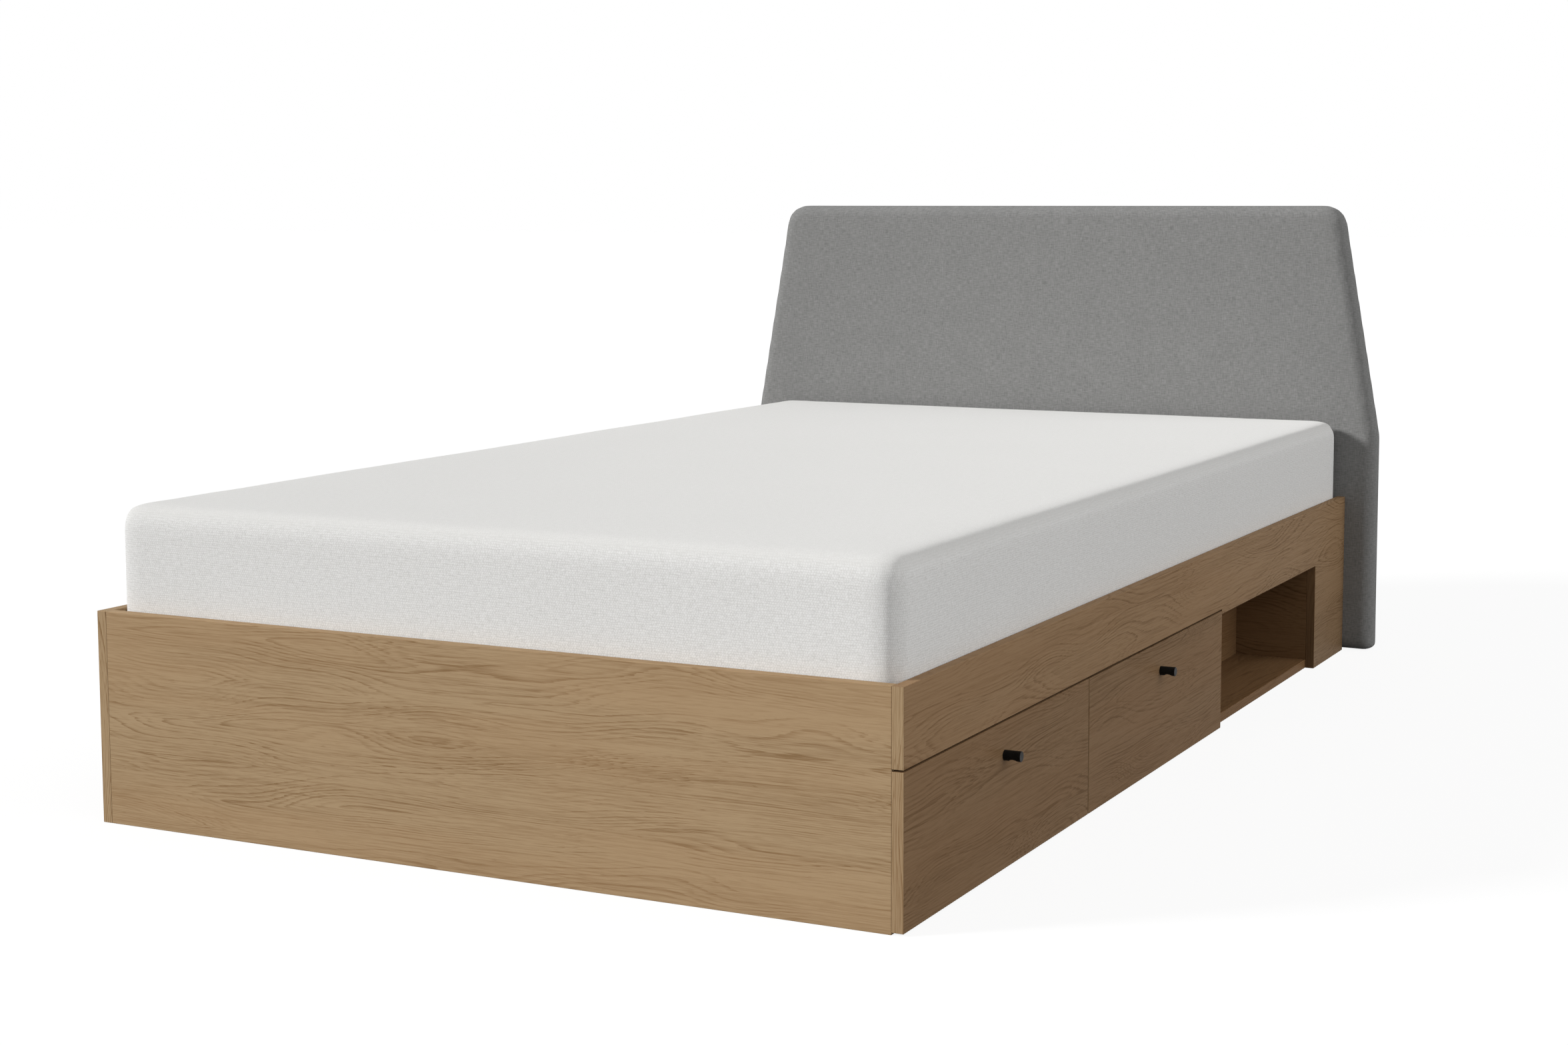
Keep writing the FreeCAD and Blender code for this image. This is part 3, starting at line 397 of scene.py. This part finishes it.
def knit(name, face_y):
    """Off-white nubby basket weave with uneven yarn, plainer on top, its upright sides painted
    lighter and its top darker as painted light and shade.
    """
    shader = Shader(name)
    first, second = cloth_axes(shader, face_y)
    wander = threads(shader, first, second, *WANDER_SIZE, 2.0, detail=2.0)
    row = shader.math("MULTIPLY_ADD", wander, ROW_WANDER, shader.math("DIVIDE", second, KNIT_ROW))
    offset = shader.math("FLOOR", row)
    column = shader.math("MULTIPLY_ADD", offset, 0.5, shader.math("DIVIDE", first, KNIT_COLUMN))
    column = shader.math("MULTIPLY_ADD", wander, COLUMN_WANDER, column)
    across, along = (
        shader.math("ABSOLUTE", shader.math("SINE", shader.math("MULTIPLY", turn, math.pi)))
        for turn in (row, column)
    )
    rounded = shader.math("MULTIPLY_ADD", along, 0.75, 0.25)
    nub = shader.math("MULTIPLY", shader.math("SQRT", across), rounded)
    weft = threads(shader, first, second, THREAD_LENGTH, WEFT_WIDTH, 4.0)
    warp = threads(shader, second, first, THREAD_LENGTH, WARP_WIDTH, 7.0)
    grain = threads(shader, first, second, GRAIN_LENGTH, WEFT_WIDTH, 9.0, detail=2.0)
    nub = shader.math("MULTIPLY", nub, shader.math("MULTIPLY_ADD", grain, 1.1, 0.2))
    slow = shader.even(6.0)
    amount = shader.math("MULTIPLY_ADD", weft, 0.7, shader.math("MULTIPLY", warp, 0.6))
    amount = shader.math("MULTIPLY_ADD", nub, 0.95, amount)
    amount = shader.math("SUBTRACT", amount, KNIT_MIDDLE)
    amount = shader.math("MULTIPLY_ADD", slow, 0.12, amount)
    level = shader.span(shader.math("ABSOLUTE", shader.split(shader.normal)[2]), 0.10, 0.80)
    amount = shader.math("MULTIPLY", amount, shader.math("MULTIPLY_ADD", level, -0.6, 1.0))
    # Painted light and shade: upright sides are given a lighter tone than the level top
    tone = shader.math("MULTIPLY_ADD", level, LEVEL_SHADED_TONE - UPRIGHT_LIT_TONE, UPRIGHT_LIT_TONE)
    amount = shader.math("ADD", amount, tone, clamp=True)
    colour = shader.mix(amount, (0.690, 0.682, 0.660), (0.940, 0.936, 0.924))
    yarn = shader.math("MULTIPLY", shader.math("ADD", weft, warp), 0.5)
    height = shader.math("MULTIPLY_ADD", nub, 0.8, yarn)
    return shader.finish(
        Base_Color=colour, Roughness=0.9, Diffuse_Roughness=0.4, Specular_IOR_Level=0.05,
        Sheen_Weight=0.1, Sheen_Roughness=0.5, Normal=shader.bump(height, 0.0004, 0.45),
    )


MELANGE_MIDDLE = 0.85  # what the yarns add up to on average


def melange(name, dark, light, face_y=0.0, pitch=0.0017):
    """Flat weave of mixed yarns: short lighter and darker threads both ways."""
    shader = Shader(name)
    first, second = cloth_axes(shader, face_y)
    length = 7.5 * pitch
    weft = threads(shader, first, second, length, pitch, 1.0, detail=2.0)
    warp = threads(shader, second, first, length, pitch, 5.0, detail=2.0)
    short = threads(shader, first, second, 3.0 * pitch, 0.8 * pitch, 11.0)
    pale = shader.span(short, 0.62, 0.78)
    blot = shader.even(18.0)
    row, column = (
        shader.math("SINE", shader.math("MULTIPLY", place, 2.0 * math.pi / pitch))
        for place in (second, first)
    )
    cell = shader.math("MULTIPLY", row, column)
    amount = shader.math("MULTIPLY_ADD", weft, 1.4, shader.math("MULTIPLY", warp, 1.1))
    amount = shader.math("ADD", amount, shader.math("MULTIPLY_ADD", blot, 0.20, -MELANGE_MIDDLE))
    amount = shader.math("MULTIPLY_ADD", pale, 0.35, amount)
    amount = shader.math("MULTIPLY_ADD", cell, 0.05, amount, clamp=True)
    colour = shader.mix(amount, dark, light)
    height = shader.math("MULTIPLY_ADD", cell, 0.35, shader.math("ADD", weft, warp))
    return shader.finish(
        Base_Color=colour, Roughness=0.92, Specular_IOR_Level=0.04, Sheen_Weight=0.1,
        Sheen_Roughness=0.5, Normal=shader.bump(height, 0.0003, 0.4),
    )


def felt(name):
    """Black spun cloth with small pressed dimples."""
    shader = Shader(name)
    settings = {"Vector": shader.point, "Scale": 700.0, "Randomness": 0.3}
    dots = shader.add("ShaderNodeTexVoronoi", settings)
    dimple = shader.span(dots.outputs["Distance"], 0.1, 0.4)
    hairs = shader.waves(shader.point, 300.0, 900.0, detail=3.0, roughness=0.7)
    amount = shader.math("MULTIPLY_ADD", dimple, 0.4, shader.math("MULTIPLY", hairs, 0.6))
    colour = shader.mix(amount, (0.006, 0.006, 0.007), (0.060, 0.060, 0.062))
    return shader.finish(Base_Color=colour, Roughness=0.95, Normal=shader.bump(amount, 0.0002, 0.6))


def foam(name):
    """Open-cell foam."""
    shader = Shader(name)
    cells = shader.add("ShaderNodeTexVoronoi", {"Vector": shader.point, "Scale": 900.0})
    depth = cells.outputs["Distance"]
    colour = shader.mix(depth, (0.62, 0.56, 0.38), (0.86, 0.82, 0.66))
    return shader.finish(Base_Color=colour, Roughness=0.95, Normal=shader.bump(depth, 0.0004, 0.6))


# ---------------------------------------------------------------- finishes of the CAD nodes

GRAINS = {
    "footboard": "X", "left_side_panel": "Y", "right_side_panel": "Y", "centre_panel": "Y",
    "middle_partition": "X", "niche_partition": "X", "left_front_brace": "X",
    "left_rear_brace": "X", "niche_floor": "Y", "niche_back": "Y", "niche_head_wall": "X",
    "niche_top": "Y", "drawer_1_front": "Y", "drawer_2_front": "Y",
}
PINE_GRAINS = {"left_slat_ledge": "Y", "right_slat_ledge": "Y", "slats": "X"}
# The leg's painted shade: its colour is scaled by this at the floor
OAK_SEED, OAK_CONTRAST, DRAWER_CONTRAST, LEG_SHADE_TONE = 1, 0.95, 1.10, 0.74
PINE_SEED, PINE_CONTRAST, PINE_PITCH = 31, 0.8, 0.007
MATTRESS_FACE_Y = -1.0405
HEADBOARD_FACE_Y = 0.999
finishes = {
    "raw_board": raw_board("chipboard"),
    "drawer_board": melamine("linen_melamine"),
    "zinc": zinc("zinc_plate"),
    "black_metal": powder_coat("black_coat"),
    "cage_plastic": plastic("milky_plastic"),
    "webbing": melange("webbing_weave", (0.48, 0.47, 0.44), (0.76, 0.75, 0.70), pitch=0.0015),
    "headboard_fabric": melange(
        "grey_melange", (0.168, 0.168, 0.165), (0.312, 0.311, 0.304), face_y=HEADBOARD_FACE_Y
    ),
    "lining_cloth": felt("black_felt"),
    "foam": foam("open_foam"),
    "mattress_knit": knit("white_knit", face_y=MATTRESS_FACE_Y),
}
for number, (name, along) in enumerate(GRAINS.items(), start=OAK_SEED):
    # Each board but the footboard and left side takes a darker copy of the oak, a painted shade
    tones = SHADED_OAK_SIDE_LIGHT, SHADED_OAK_SIDE_DARK
    if name in ("footboard", "left_side_panel"):
        tones = OAK_LIGHT, OAK_DARK
    elif name.startswith("drawer"):
        tones = SHADED_OAK_DRAWER_LIGHT, SHADED_OAK_DRAWER_DARK
    elif name.startswith("niche"):
        tones = SHADED_OAK_NICHE_LIGHT, SHADED_OAK_NICHE_DARK
    edge = tones if name.startswith("niche") else (OAK_LIGHT, OAK_DARK)
    contrast = DRAWER_CONTRAST if name.startswith("drawer") else OAK_CONTRAST

    # The right side panel is the niche's edge and the leg beside the drawers too, with painted
    # shade on its edge bands in the niche and towards the floor
    extra = {}
    if name == "right_side_panel":
        extra = {"shaded_niche_edge": (SHADED_OAK_NICHE_LIGHT, SHADED_OAK_NICHE_DARK), "floor_shade_tone": LEG_SHADE_TONE}
    finishes[name] = wood(f"oak_{name}", along, number, *tones, contrast, edge=edge, **extra)
for number, (name, along) in enumerate(PINE_GRAINS.items(), start=PINE_SEED):
    finishes[name] = wood(
        f"pine_{name}", along, number, PINE_LIGHT, PINE_DARK, PINE_CONTRAST, pitch=PINE_PITCH
    )

for part in frame["record"]["subparts"]:
    piece = nodes[part["node"]]
    finish = finishes.get(part["node"]) or finishes[part["material_slot"]]
    piece.data.materials.clear()
    piece.data.materials.append(finish)

# ---------------------------------------------------------------- soft forms


def rounded_outline(corners, radii, inset, steps=8):
    """A convex outline pulled in by an inset, each corner rounded by the rest of its radius."""
    count = len(corners)
    least_radius = 0.002
    lines = []
    for index in range(count):
        start, end = Vector(corners[index]), Vector(corners[(index + 1) % count])
        along = (end - start).normalized()
        inwards = Vector((-along.y, along.x))
        lines.append((start + inwards * inset, along))
    points = []
    for index in range(count):
        (a, da), (b, db) = lines[index - 1], lines[index]
        spread = da.x * db.y - da.y * db.x
        t = ((b.x - a.x) * db.y - (b.y - a.y) * db.x) / spread
        corner = a + da * t
        turn = math.acos(max(-1.0, min(1.0, da.dot(db))))
        radius = max(radii[index] - inset, least_radius)
        setback = radius * math.tan(turn / 2)
        centre = corner - da * setback + Vector((-da.y, da.x)) * radius
        first = math.atan2(-da.x, da.y)
        for step in range(steps + 1):
            angle = first + turn * step / steps
            points.append(centre + Vector((math.cos(angle), math.sin(angle))) * radius)
    return points


def quarter(radius, steps=7):
    """Insets and levels round one edge, over a quarter turn."""
    for step in range(steps + 1):
        angle = step / steps * math.pi / 2
        yield radius * (1 - math.sin(angle)), radius * (1 - math.cos(angle))


def ringed(name, outline, profile, place, first_cap=True):
    """A form from rings of one outline at several insets and levels. A sheet has no first cap."""
    mesh = bpy.data.meshes.new(name)
    builder = bmesh.new()
    rings = [
        [builder.verts.new(place(point, level)) for point in outline(inset)]
        for inset, level in profile
    ]
    for low, high in zip(rings, rings[1:]):
        for index in range(len(low)):
            after = (index + 1) % len(low)
            builder.faces.new((low[index], low[after], high[after], high[index]))
    if first_cap:
        builder.faces.new(list(reversed(rings[0])))
    builder.faces.new(rings[-1])
    bmesh.ops.recalc_face_normals(builder, faces=builder.faces)
    builder.to_mesh(mesh)
    builder.free()
    return linked(name, mesh)


def apply_modifiers(piece):
    """Bakes the modifiers into the mesh."""
    graph = bpy.context.evaluated_depsgraph_get()
    mesh = bpy.data.meshes.new_from_object(piece.evaluated_get(graph))
    piece.modifiers.clear()
    piece.data = mesh


SWELL_FRAMES = 20


def puffed(piece, voxel, pressure, cap):
    """Swells a closed form as cloth under pressure, each point by no more than the cap."""
    remesh = piece.modifiers.new("even", "REMESH")
    remesh.mode = "VOXEL"
    remesh.voxel_size = voxel
    apply_modifiers(piece)
    rest = [vertex.co.copy() for vertex in piece.data.vertices]
    cloth = piece.modifiers.new("cloth", "CLOTH")
    for key, value in {
        "quality": 5, "mass": 0.3, "tension_stiffness": 25, "compression_stiffness": 15,
        "bending_stiffness": 1.5, "use_pressure": True, "uniform_pressure_force": pressure,
    }.items():
        setattr(cloth.settings, key, value)
    cloth.settings.effector_weights.gravity = 0
    cloth.collision_settings.use_collision = False
    cloth.point_cache.frame_start = 1
    cloth.point_cache.frame_end = SWELL_FRAMES
    for frame_number in range(1, SWELL_FRAMES + 1):
        bpy.context.scene.frame_set(frame_number)
    apply_modifiers(piece)
    for vertex, start in zip(piece.data.vertices, rest):
        moved = vertex.co - start
        if moved.length > cap:
            vertex.co = start + moved * (cap / moved.length)
    bpy.context.scene.frame_set(1)


def finished(piece, low, high):
    """Subdivides a soft form once and moves its points so that it just fills a box."""
    smooth = piece.modifiers.new("smooth", "SUBSURF")
    smooth.levels = smooth.render_levels = 1
    apply_modifiers(piece)
    points = [vertex.co for vertex in piece.data.vertices]
    for axis in range(3):
        least = min(point[axis] for point in points)
        most = max(point[axis] for point in points)
        scale = (high[axis] - low[axis]) / (most - least)
        for point in points:
            point[axis] = low[axis] + (point[axis] - least) * scale
    for polygon in piece.data.polygons:
        polygon.use_smooth = True


# Mattress: it fills the well and stands out of it with full rounded edges
low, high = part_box("mattress_cover")
swell = 0.003  # what the pressure adds
side_bulge, foot_bulge, seat_gap = 0.0040, 0.0035, 0.0003
half_width = high.x + side_bulge - swell
head_y = high.y - swell
foot_y = low.y - foot_bulge + swell
middle_y = (head_y + foot_y) / 2
half_length = (head_y - foot_y) / 2
mattress_corners = [
    (-half_width, -half_length), (half_width, -half_length),
    (half_width, half_length), (-half_width, half_length),
]
mattress_radii = [0.034, 0.034, 0.020, 0.020]


def mattress_profile():
    """Insets and levels from the bottom up."""
    base_radius, top_radius, base_lift, levels = 0.016, 0.026, 0.001, 12
    foot, top = low.z + base_lift, high.z - swell
    upright = top - top_radius - foot - base_radius
    for inset, rise in quarter(base_radius):
        yield inset, foot + rise
    for step in range(1, levels):
        yield 0.0, foot + base_radius + upright * step / levels
    for inset, drop in reversed(list(quarter(top_radius))):
        yield inset, top - drop


mattress = ringed(
    "mattress", lambda inset: rounded_outline(mattress_corners, mattress_radii, inset),
    list(mattress_profile()), lambda point, level: (point.x, point.y + middle_y, level),
)
puffed(mattress, voxel=0.012, pressure=4.0, cap=swell)
wave_height, wave_rate, top_band = 0.0008, 3.1, 0.03
for vertex in mattress.data.vertices:
    if vertex.co.z > high.z - top_band:
        vertex.co.z += noise.fractal(vertex.co * wave_rate, 1.0, 2.0, 2) * wave_height
finished(
    mattress,
    (-half_width - swell, foot_y - swell, low.z + seat_gap),
    (half_width + swell, head_y + swell, high.z),
)
mattress.data.materials.append(finishes["mattress_knit"])
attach(mattress, "bed")
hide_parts("mattress_cover", "mattress_core")

# Headboard: taut cloth over foam, with full rounded edges
low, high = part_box("headboard_cover")
lean = 0.078  # how far each side leans in from its shoulder to the top
shoulder = 0.422
room, foot_room = 0.001, 0.0015  # for the swelling
half = high.x - room
top = high.z - room
foot = low.z + foot_room
thickness = high.y - low.y
headboard_corners = [
    (-half, foot), (half, foot), (half, shoulder),
    (half - lean, top), (-half + lean, top), (-half, shoulder),
]
headboard_radii = [0.004, 0.004, 0.060, 0.042, 0.042, 0.060]


def headboard_profile():
    """Insets and depths from the face to the back."""
    front_radius, back_radius, belly, levels = 0.018, 0.011, 0.001, 4
    straight = thickness - front_radius - back_radius
    for inset, depth in quarter(front_radius):
        yield inset, depth
    for step in range(1, levels):
        share = step / levels
        yield -belly * math.sin(math.pi * share), front_radius + straight * share
    for inset, depth in reversed(list(quarter(back_radius))):
        yield inset, thickness - depth


headboard = ringed(
    "headboard", lambda inset: rounded_outline(headboard_corners, headboard_radii, inset),
    list(headboard_profile()), lambda point, depth: (point.x, low.y + depth, point.y),
)
puffed(headboard, voxel=0.009, pressure=3.0, cap=0.002)
finished(headboard, low, high)
headboard.data.materials.append(finishes["headboard_fabric"])
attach(headboard, "bed")
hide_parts("headboard_cover", "headboard_foam")

# Back lining: black cloth stapled over the back of the headboard
lining_low, lining_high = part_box("headboard_back_lining")
lining_inset = high.x - lining_high.x
ripple_height, ripple_rate, lining_lift = 0.0002, 9.0, 0.0006
lining_step, lining_rings, lining_corner_steps = 0.024, 15, 6


def lining_outline(inset):
    """The headboard's outline, further in."""
    return rounded_outline(
        headboard_corners, headboard_radii, lining_inset + inset, lining_corner_steps
    )


def lining_place(point, depth):
    """A place on the headboard's back, which ripples a little."""
    spot = Vector((point.x * ripple_rate, point.y * ripple_rate, 2.0))
    ripple = noise.fractal(spot, 1.0, 2.0, 2) * ripple_height
    return point.x, lining_low.y + lining_lift + ripple, point.y


lining = ringed(
    "headboard_lining", lining_outline,
    [(lining_step * step, 0.0) for step in range(lining_rings)], lining_place, first_cap=False,
)
lining.data.materials.append(finishes["lining_cloth"])
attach(lining, "bed")
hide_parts("headboard_back_lining")


STAPLE_LENGTH, STAPLE_WIDTH, STAPLE_HEIGHT, STAPLE_BEVEL = 0.010, 0.0012, 0.0008, 0.0003


def staples(name, places):
    """Wire staples, each from its middle, its direction and the way it faces."""
    builder = bmesh.new()
    for middle, along, outwards in places:
        made = bmesh.ops.create_cube(builder, size=1.0)["verts"]
        side = along.cross(outwards)
        rows = (along * STAPLE_LENGTH, side * STAPLE_WIDTH, outwards * STAPLE_HEIGHT)
        turn = Matrix(rows).transposed().to_4x4()
        bmesh.ops.transform(builder, matrix=Matrix.Translation(middle) @ turn, verts=made)
    mesh = bpy.data.meshes.new(name)
    builder.to_mesh(mesh)
    builder.free()
    piece = linked(name, mesh)
    bevel = piece.modifiers.new("soft edges", "BEVEL")
    bevel.width = STAPLE_BEVEL
    bevel.segments = 2
    piece.data.materials.append(finishes["zinc"])
    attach(piece, "bed")


staple_inset, staple_spacing = 0.008, 0.048
border = lining_outline(staple_inset)
places = []
carried = 0.0
for start, end in zip(border, border[1:] + border[:1]):
    length = (end - start).length
    while length > 0.0 and carried < length:
        spot = start.lerp(end, carried / length)
        along = Vector((end.x - start.x, 0.0, end.y - start.y)).normalized()
        places.append((Vector((spot.x, lining_high.y, spot.y)), along, Vector((0.0, 1.0, 0.0))))
        carried += staple_spacing
    carried -= length
staples("lining_staples", places)

# Webbing straps under the slats, with a staple pair at each slat
low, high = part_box("slat_straps")
slat_width, slat_count = 0.070, 15
slat_pitch = (high.y - low.y - slat_width) / (slat_count - 1)
strap_width, strap_thickness, strap_gap, strap_sag = 0.025, 0.0012, 0.0001, 0.0025
strap_middle = high.x - strap_width / 2
strap_steps = 240
rows = [low.y + (high.y - low.y) * step / strap_steps for step in range(strap_steps + 1)]
selvedge, drop = 0.04, 0.0003  # the outer threads, which lie a little lower
columns = [
    (-0.5, -drop), (-0.5 + selvedge, 0.0), (0.0, 0.0), (0.5 - selvedge, 0.0), (0.5, -drop),
]
width = len(columns)
staple_drop, staple_shares = 0.0015, (0.3, 0.7)


def strap_level(y):
    """Straps hang a little between the slats."""
    past = (y - low.y) % slat_pitch
    between = (past - slat_width) / (slat_pitch - slat_width)
    sag = strap_sag * math.sin(math.pi * between) ** 2 if between > 0 else 0.0
    return high.z - strap_gap - sag


places = []
for side, sign in (("left", -1), ("right", 1)):
    points, faces = [], []
    for y in rows:
        for share, lift in columns:
            x = sign * strap_middle + share * strap_width
            points.append((x, y, strap_level(y) + lift))
    for row in range(strap_steps):
        for column in range(width - 1):
            at = row * width + column
            faces.append((at, at + 1, at + width + 1, at + width))
    mesh = bpy.data.meshes.new(f"strap_{side}")
    mesh.from_pydata(points, [], faces)
    strap = linked(f"strap_{side}", mesh)
    body = strap.modifiers.new("webbing", "SOLIDIFY")
    body.thickness = strap_thickness
    body.offset = -1.0
    mesh.materials.append(finishes["webbing"])
    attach(strap, "bed")
    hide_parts("slat_straps")
    for index in range(slat_count):
        for share in staple_shares:
            y = low.y + index * slat_pitch + share * slat_width
            spot = Vector((sign * strap_middle, y, high.z - staple_drop))
            places.append((spot, Vector((1.0, 0.0, 0.0)), Vector((0.0, 0.0, -1.0))))
staples("strap_staples", places)

# ---------------------------------------------------------------- stage, light and camera


WHITE = (1.0, 1.0, 1.0, 1.0)
KEY_TOWARDS, KEY_STRENGTH, KEY_SPREAD = (-0.72, -0.56, 0.41), 3.12, 10.0
FILL_TOWARDS, FILL_STRENGTH, FILL_SPREAD = (0.85, -0.04, 0.47), 1.38, 80.0
AMBIENT_STRENGTH, BACKDROP_STRENGTH = 0.24, 1.0
FLOOR_BOUNCE, FLOOR_GRIT = (0.27, 0.27, 0.27), (0.25, 0.25, 0.25)
FLOOR_GLOW, FLOOR_SHADE = 0.90, (0.13, 0.13, 0.13, 1.0)
FLOOR_REACH = 60.0
BOX_HALF_WIDTH, BOX_HALF_LENGTH, BOX_MIDDLE_Y = 0.603, 1.021, -0.030


def seen_directly(nodes):
    """One where the camera sees the surface, also in gloss and through glass."""
    rays = nodes.add("ShaderNodeLightPath").outputs
    total = rays["Is Camera Ray"]
    for name in ("Is Glossy Ray", "Is Transmission Ray"):
        total = nodes.math("MAXIMUM", total, rays[name])
    return total


# The floor glows white but for the bed's shadow, and its glow is taken away under the bed's box, a
# painted shade there
floor_shader = Shader("floor_pale")
grit = floor_shader.math("MULTIPLY", floor_shader.even(40.0), 0.05)
colour = floor_shader.mix(grit, FLOOR_BOUNCE, FLOOR_GRIT)
bounce = floor_shader.add("ShaderNodeBsdfDiffuse", {"Color": colour})
pale = floor_shader.add("ShaderNodeBsdfDiffuse", {"Color": FLOOR_SHADE})
from_middle = floor_shader.math("ADD", floor_shader.y, -BOX_MIDDLE_Y)
within = [
    floor_shader.math("LESS_THAN", floor_shader.math("ABSOLUTE", place), limit)
    for place, limit in ((floor_shader.x, BOX_HALF_WIDTH), (from_middle, BOX_HALF_LENGTH))
]
# Painted shade: no glow on the floor under the bed's box
under = floor_shader.math("MULTIPLY", *within)
strength = floor_shader.math("MULTIPLY_ADD", under, -FLOOR_GLOW, FLOOR_GLOW)
glow = floor_shader.add("ShaderNodeEmission", {"Color": WHITE, "Strength": strength})
shown = floor_shader.add("ShaderNodeAddShader", {0: pale.outputs[0], 1: glow.outputs[0]})
either = floor_shader.add(
    "ShaderNodeMixShader",
    {0: seen_directly(floor_shader), 1: bounce.outputs[0], 2: shown.outputs[0]},
)
floor_shader.add("ShaderNodeOutputMaterial", {"Surface": either.outputs[0]})
floor_mesh = bpy.data.meshes.new("floor")
corners = [(x * FLOOR_REACH, y * FLOOR_REACH, 0) for x, y in ((-1, -1), (1, -1), (1, 1), (-1, 1))]
floor_mesh.from_pydata(corners, [], [(0, 1, 2, 3)])
floor_mesh.materials.append(floor_shader.material)
floor = linked("floor", floor_mesh)

world = bpy.data.worlds.new("studio")
world.use_nodes = True
sky = Nodes(world.node_tree)
ambient, backdrop = (
    sky.add("ShaderNodeBackground", {"Color": WHITE, "Strength": strength})
    for strength in (AMBIENT_STRENGTH, BACKDROP_STRENGTH)
)
chosen = sky.add(
    "ShaderNodeMixShader",
    {0: seen_directly(sky), 1: ambient.outputs[0], 2: backdrop.outputs[0]},
)
sky.add("ShaderNodeOutputWorld", {"Surface": chosen.outputs[0]})
bpy.context.scene.world = world


def sun(name, towards, energy, spread):
    """A distant soft light from one direction."""
    lamp = bpy.data.lights.new(name, "SUN")
    lamp.energy = energy
    lamp.angle = math.radians(spread)
    linked(name, lamp).rotation_euler = Vector(towards).to_track_quat("Z", "Y").to_euler()


sun("key", KEY_TOWARDS, KEY_STRENGTH, KEY_SPREAD)
sun("fill", FILL_TOWARDS, FILL_STRENGTH, FILL_SPREAD)

# The camera solved from the photograph's vanishing points, with a smaller shift
camera = bpy.data.cameras.new("camera")
camera.lens = 55.2334
camera.sensor_width = 36.0
camera.shift_x = -0.05
camera.shift_y = -0.05
camera.clip_end = 200.0
camera_tilt, camera_turn = 5.6981, 25.6145
camera_object = linked("camera", camera)
camera_object.location = (1.78280, -3.59554, 0.86810)
camera_object.rotation_euler = (math.radians(90.0 - camera_tilt), 0.0, math.radians(camera_turn))
bpy.context.scene.camera = camera_object
bpy.context.scene.view_settings.view_transform = "Standard"
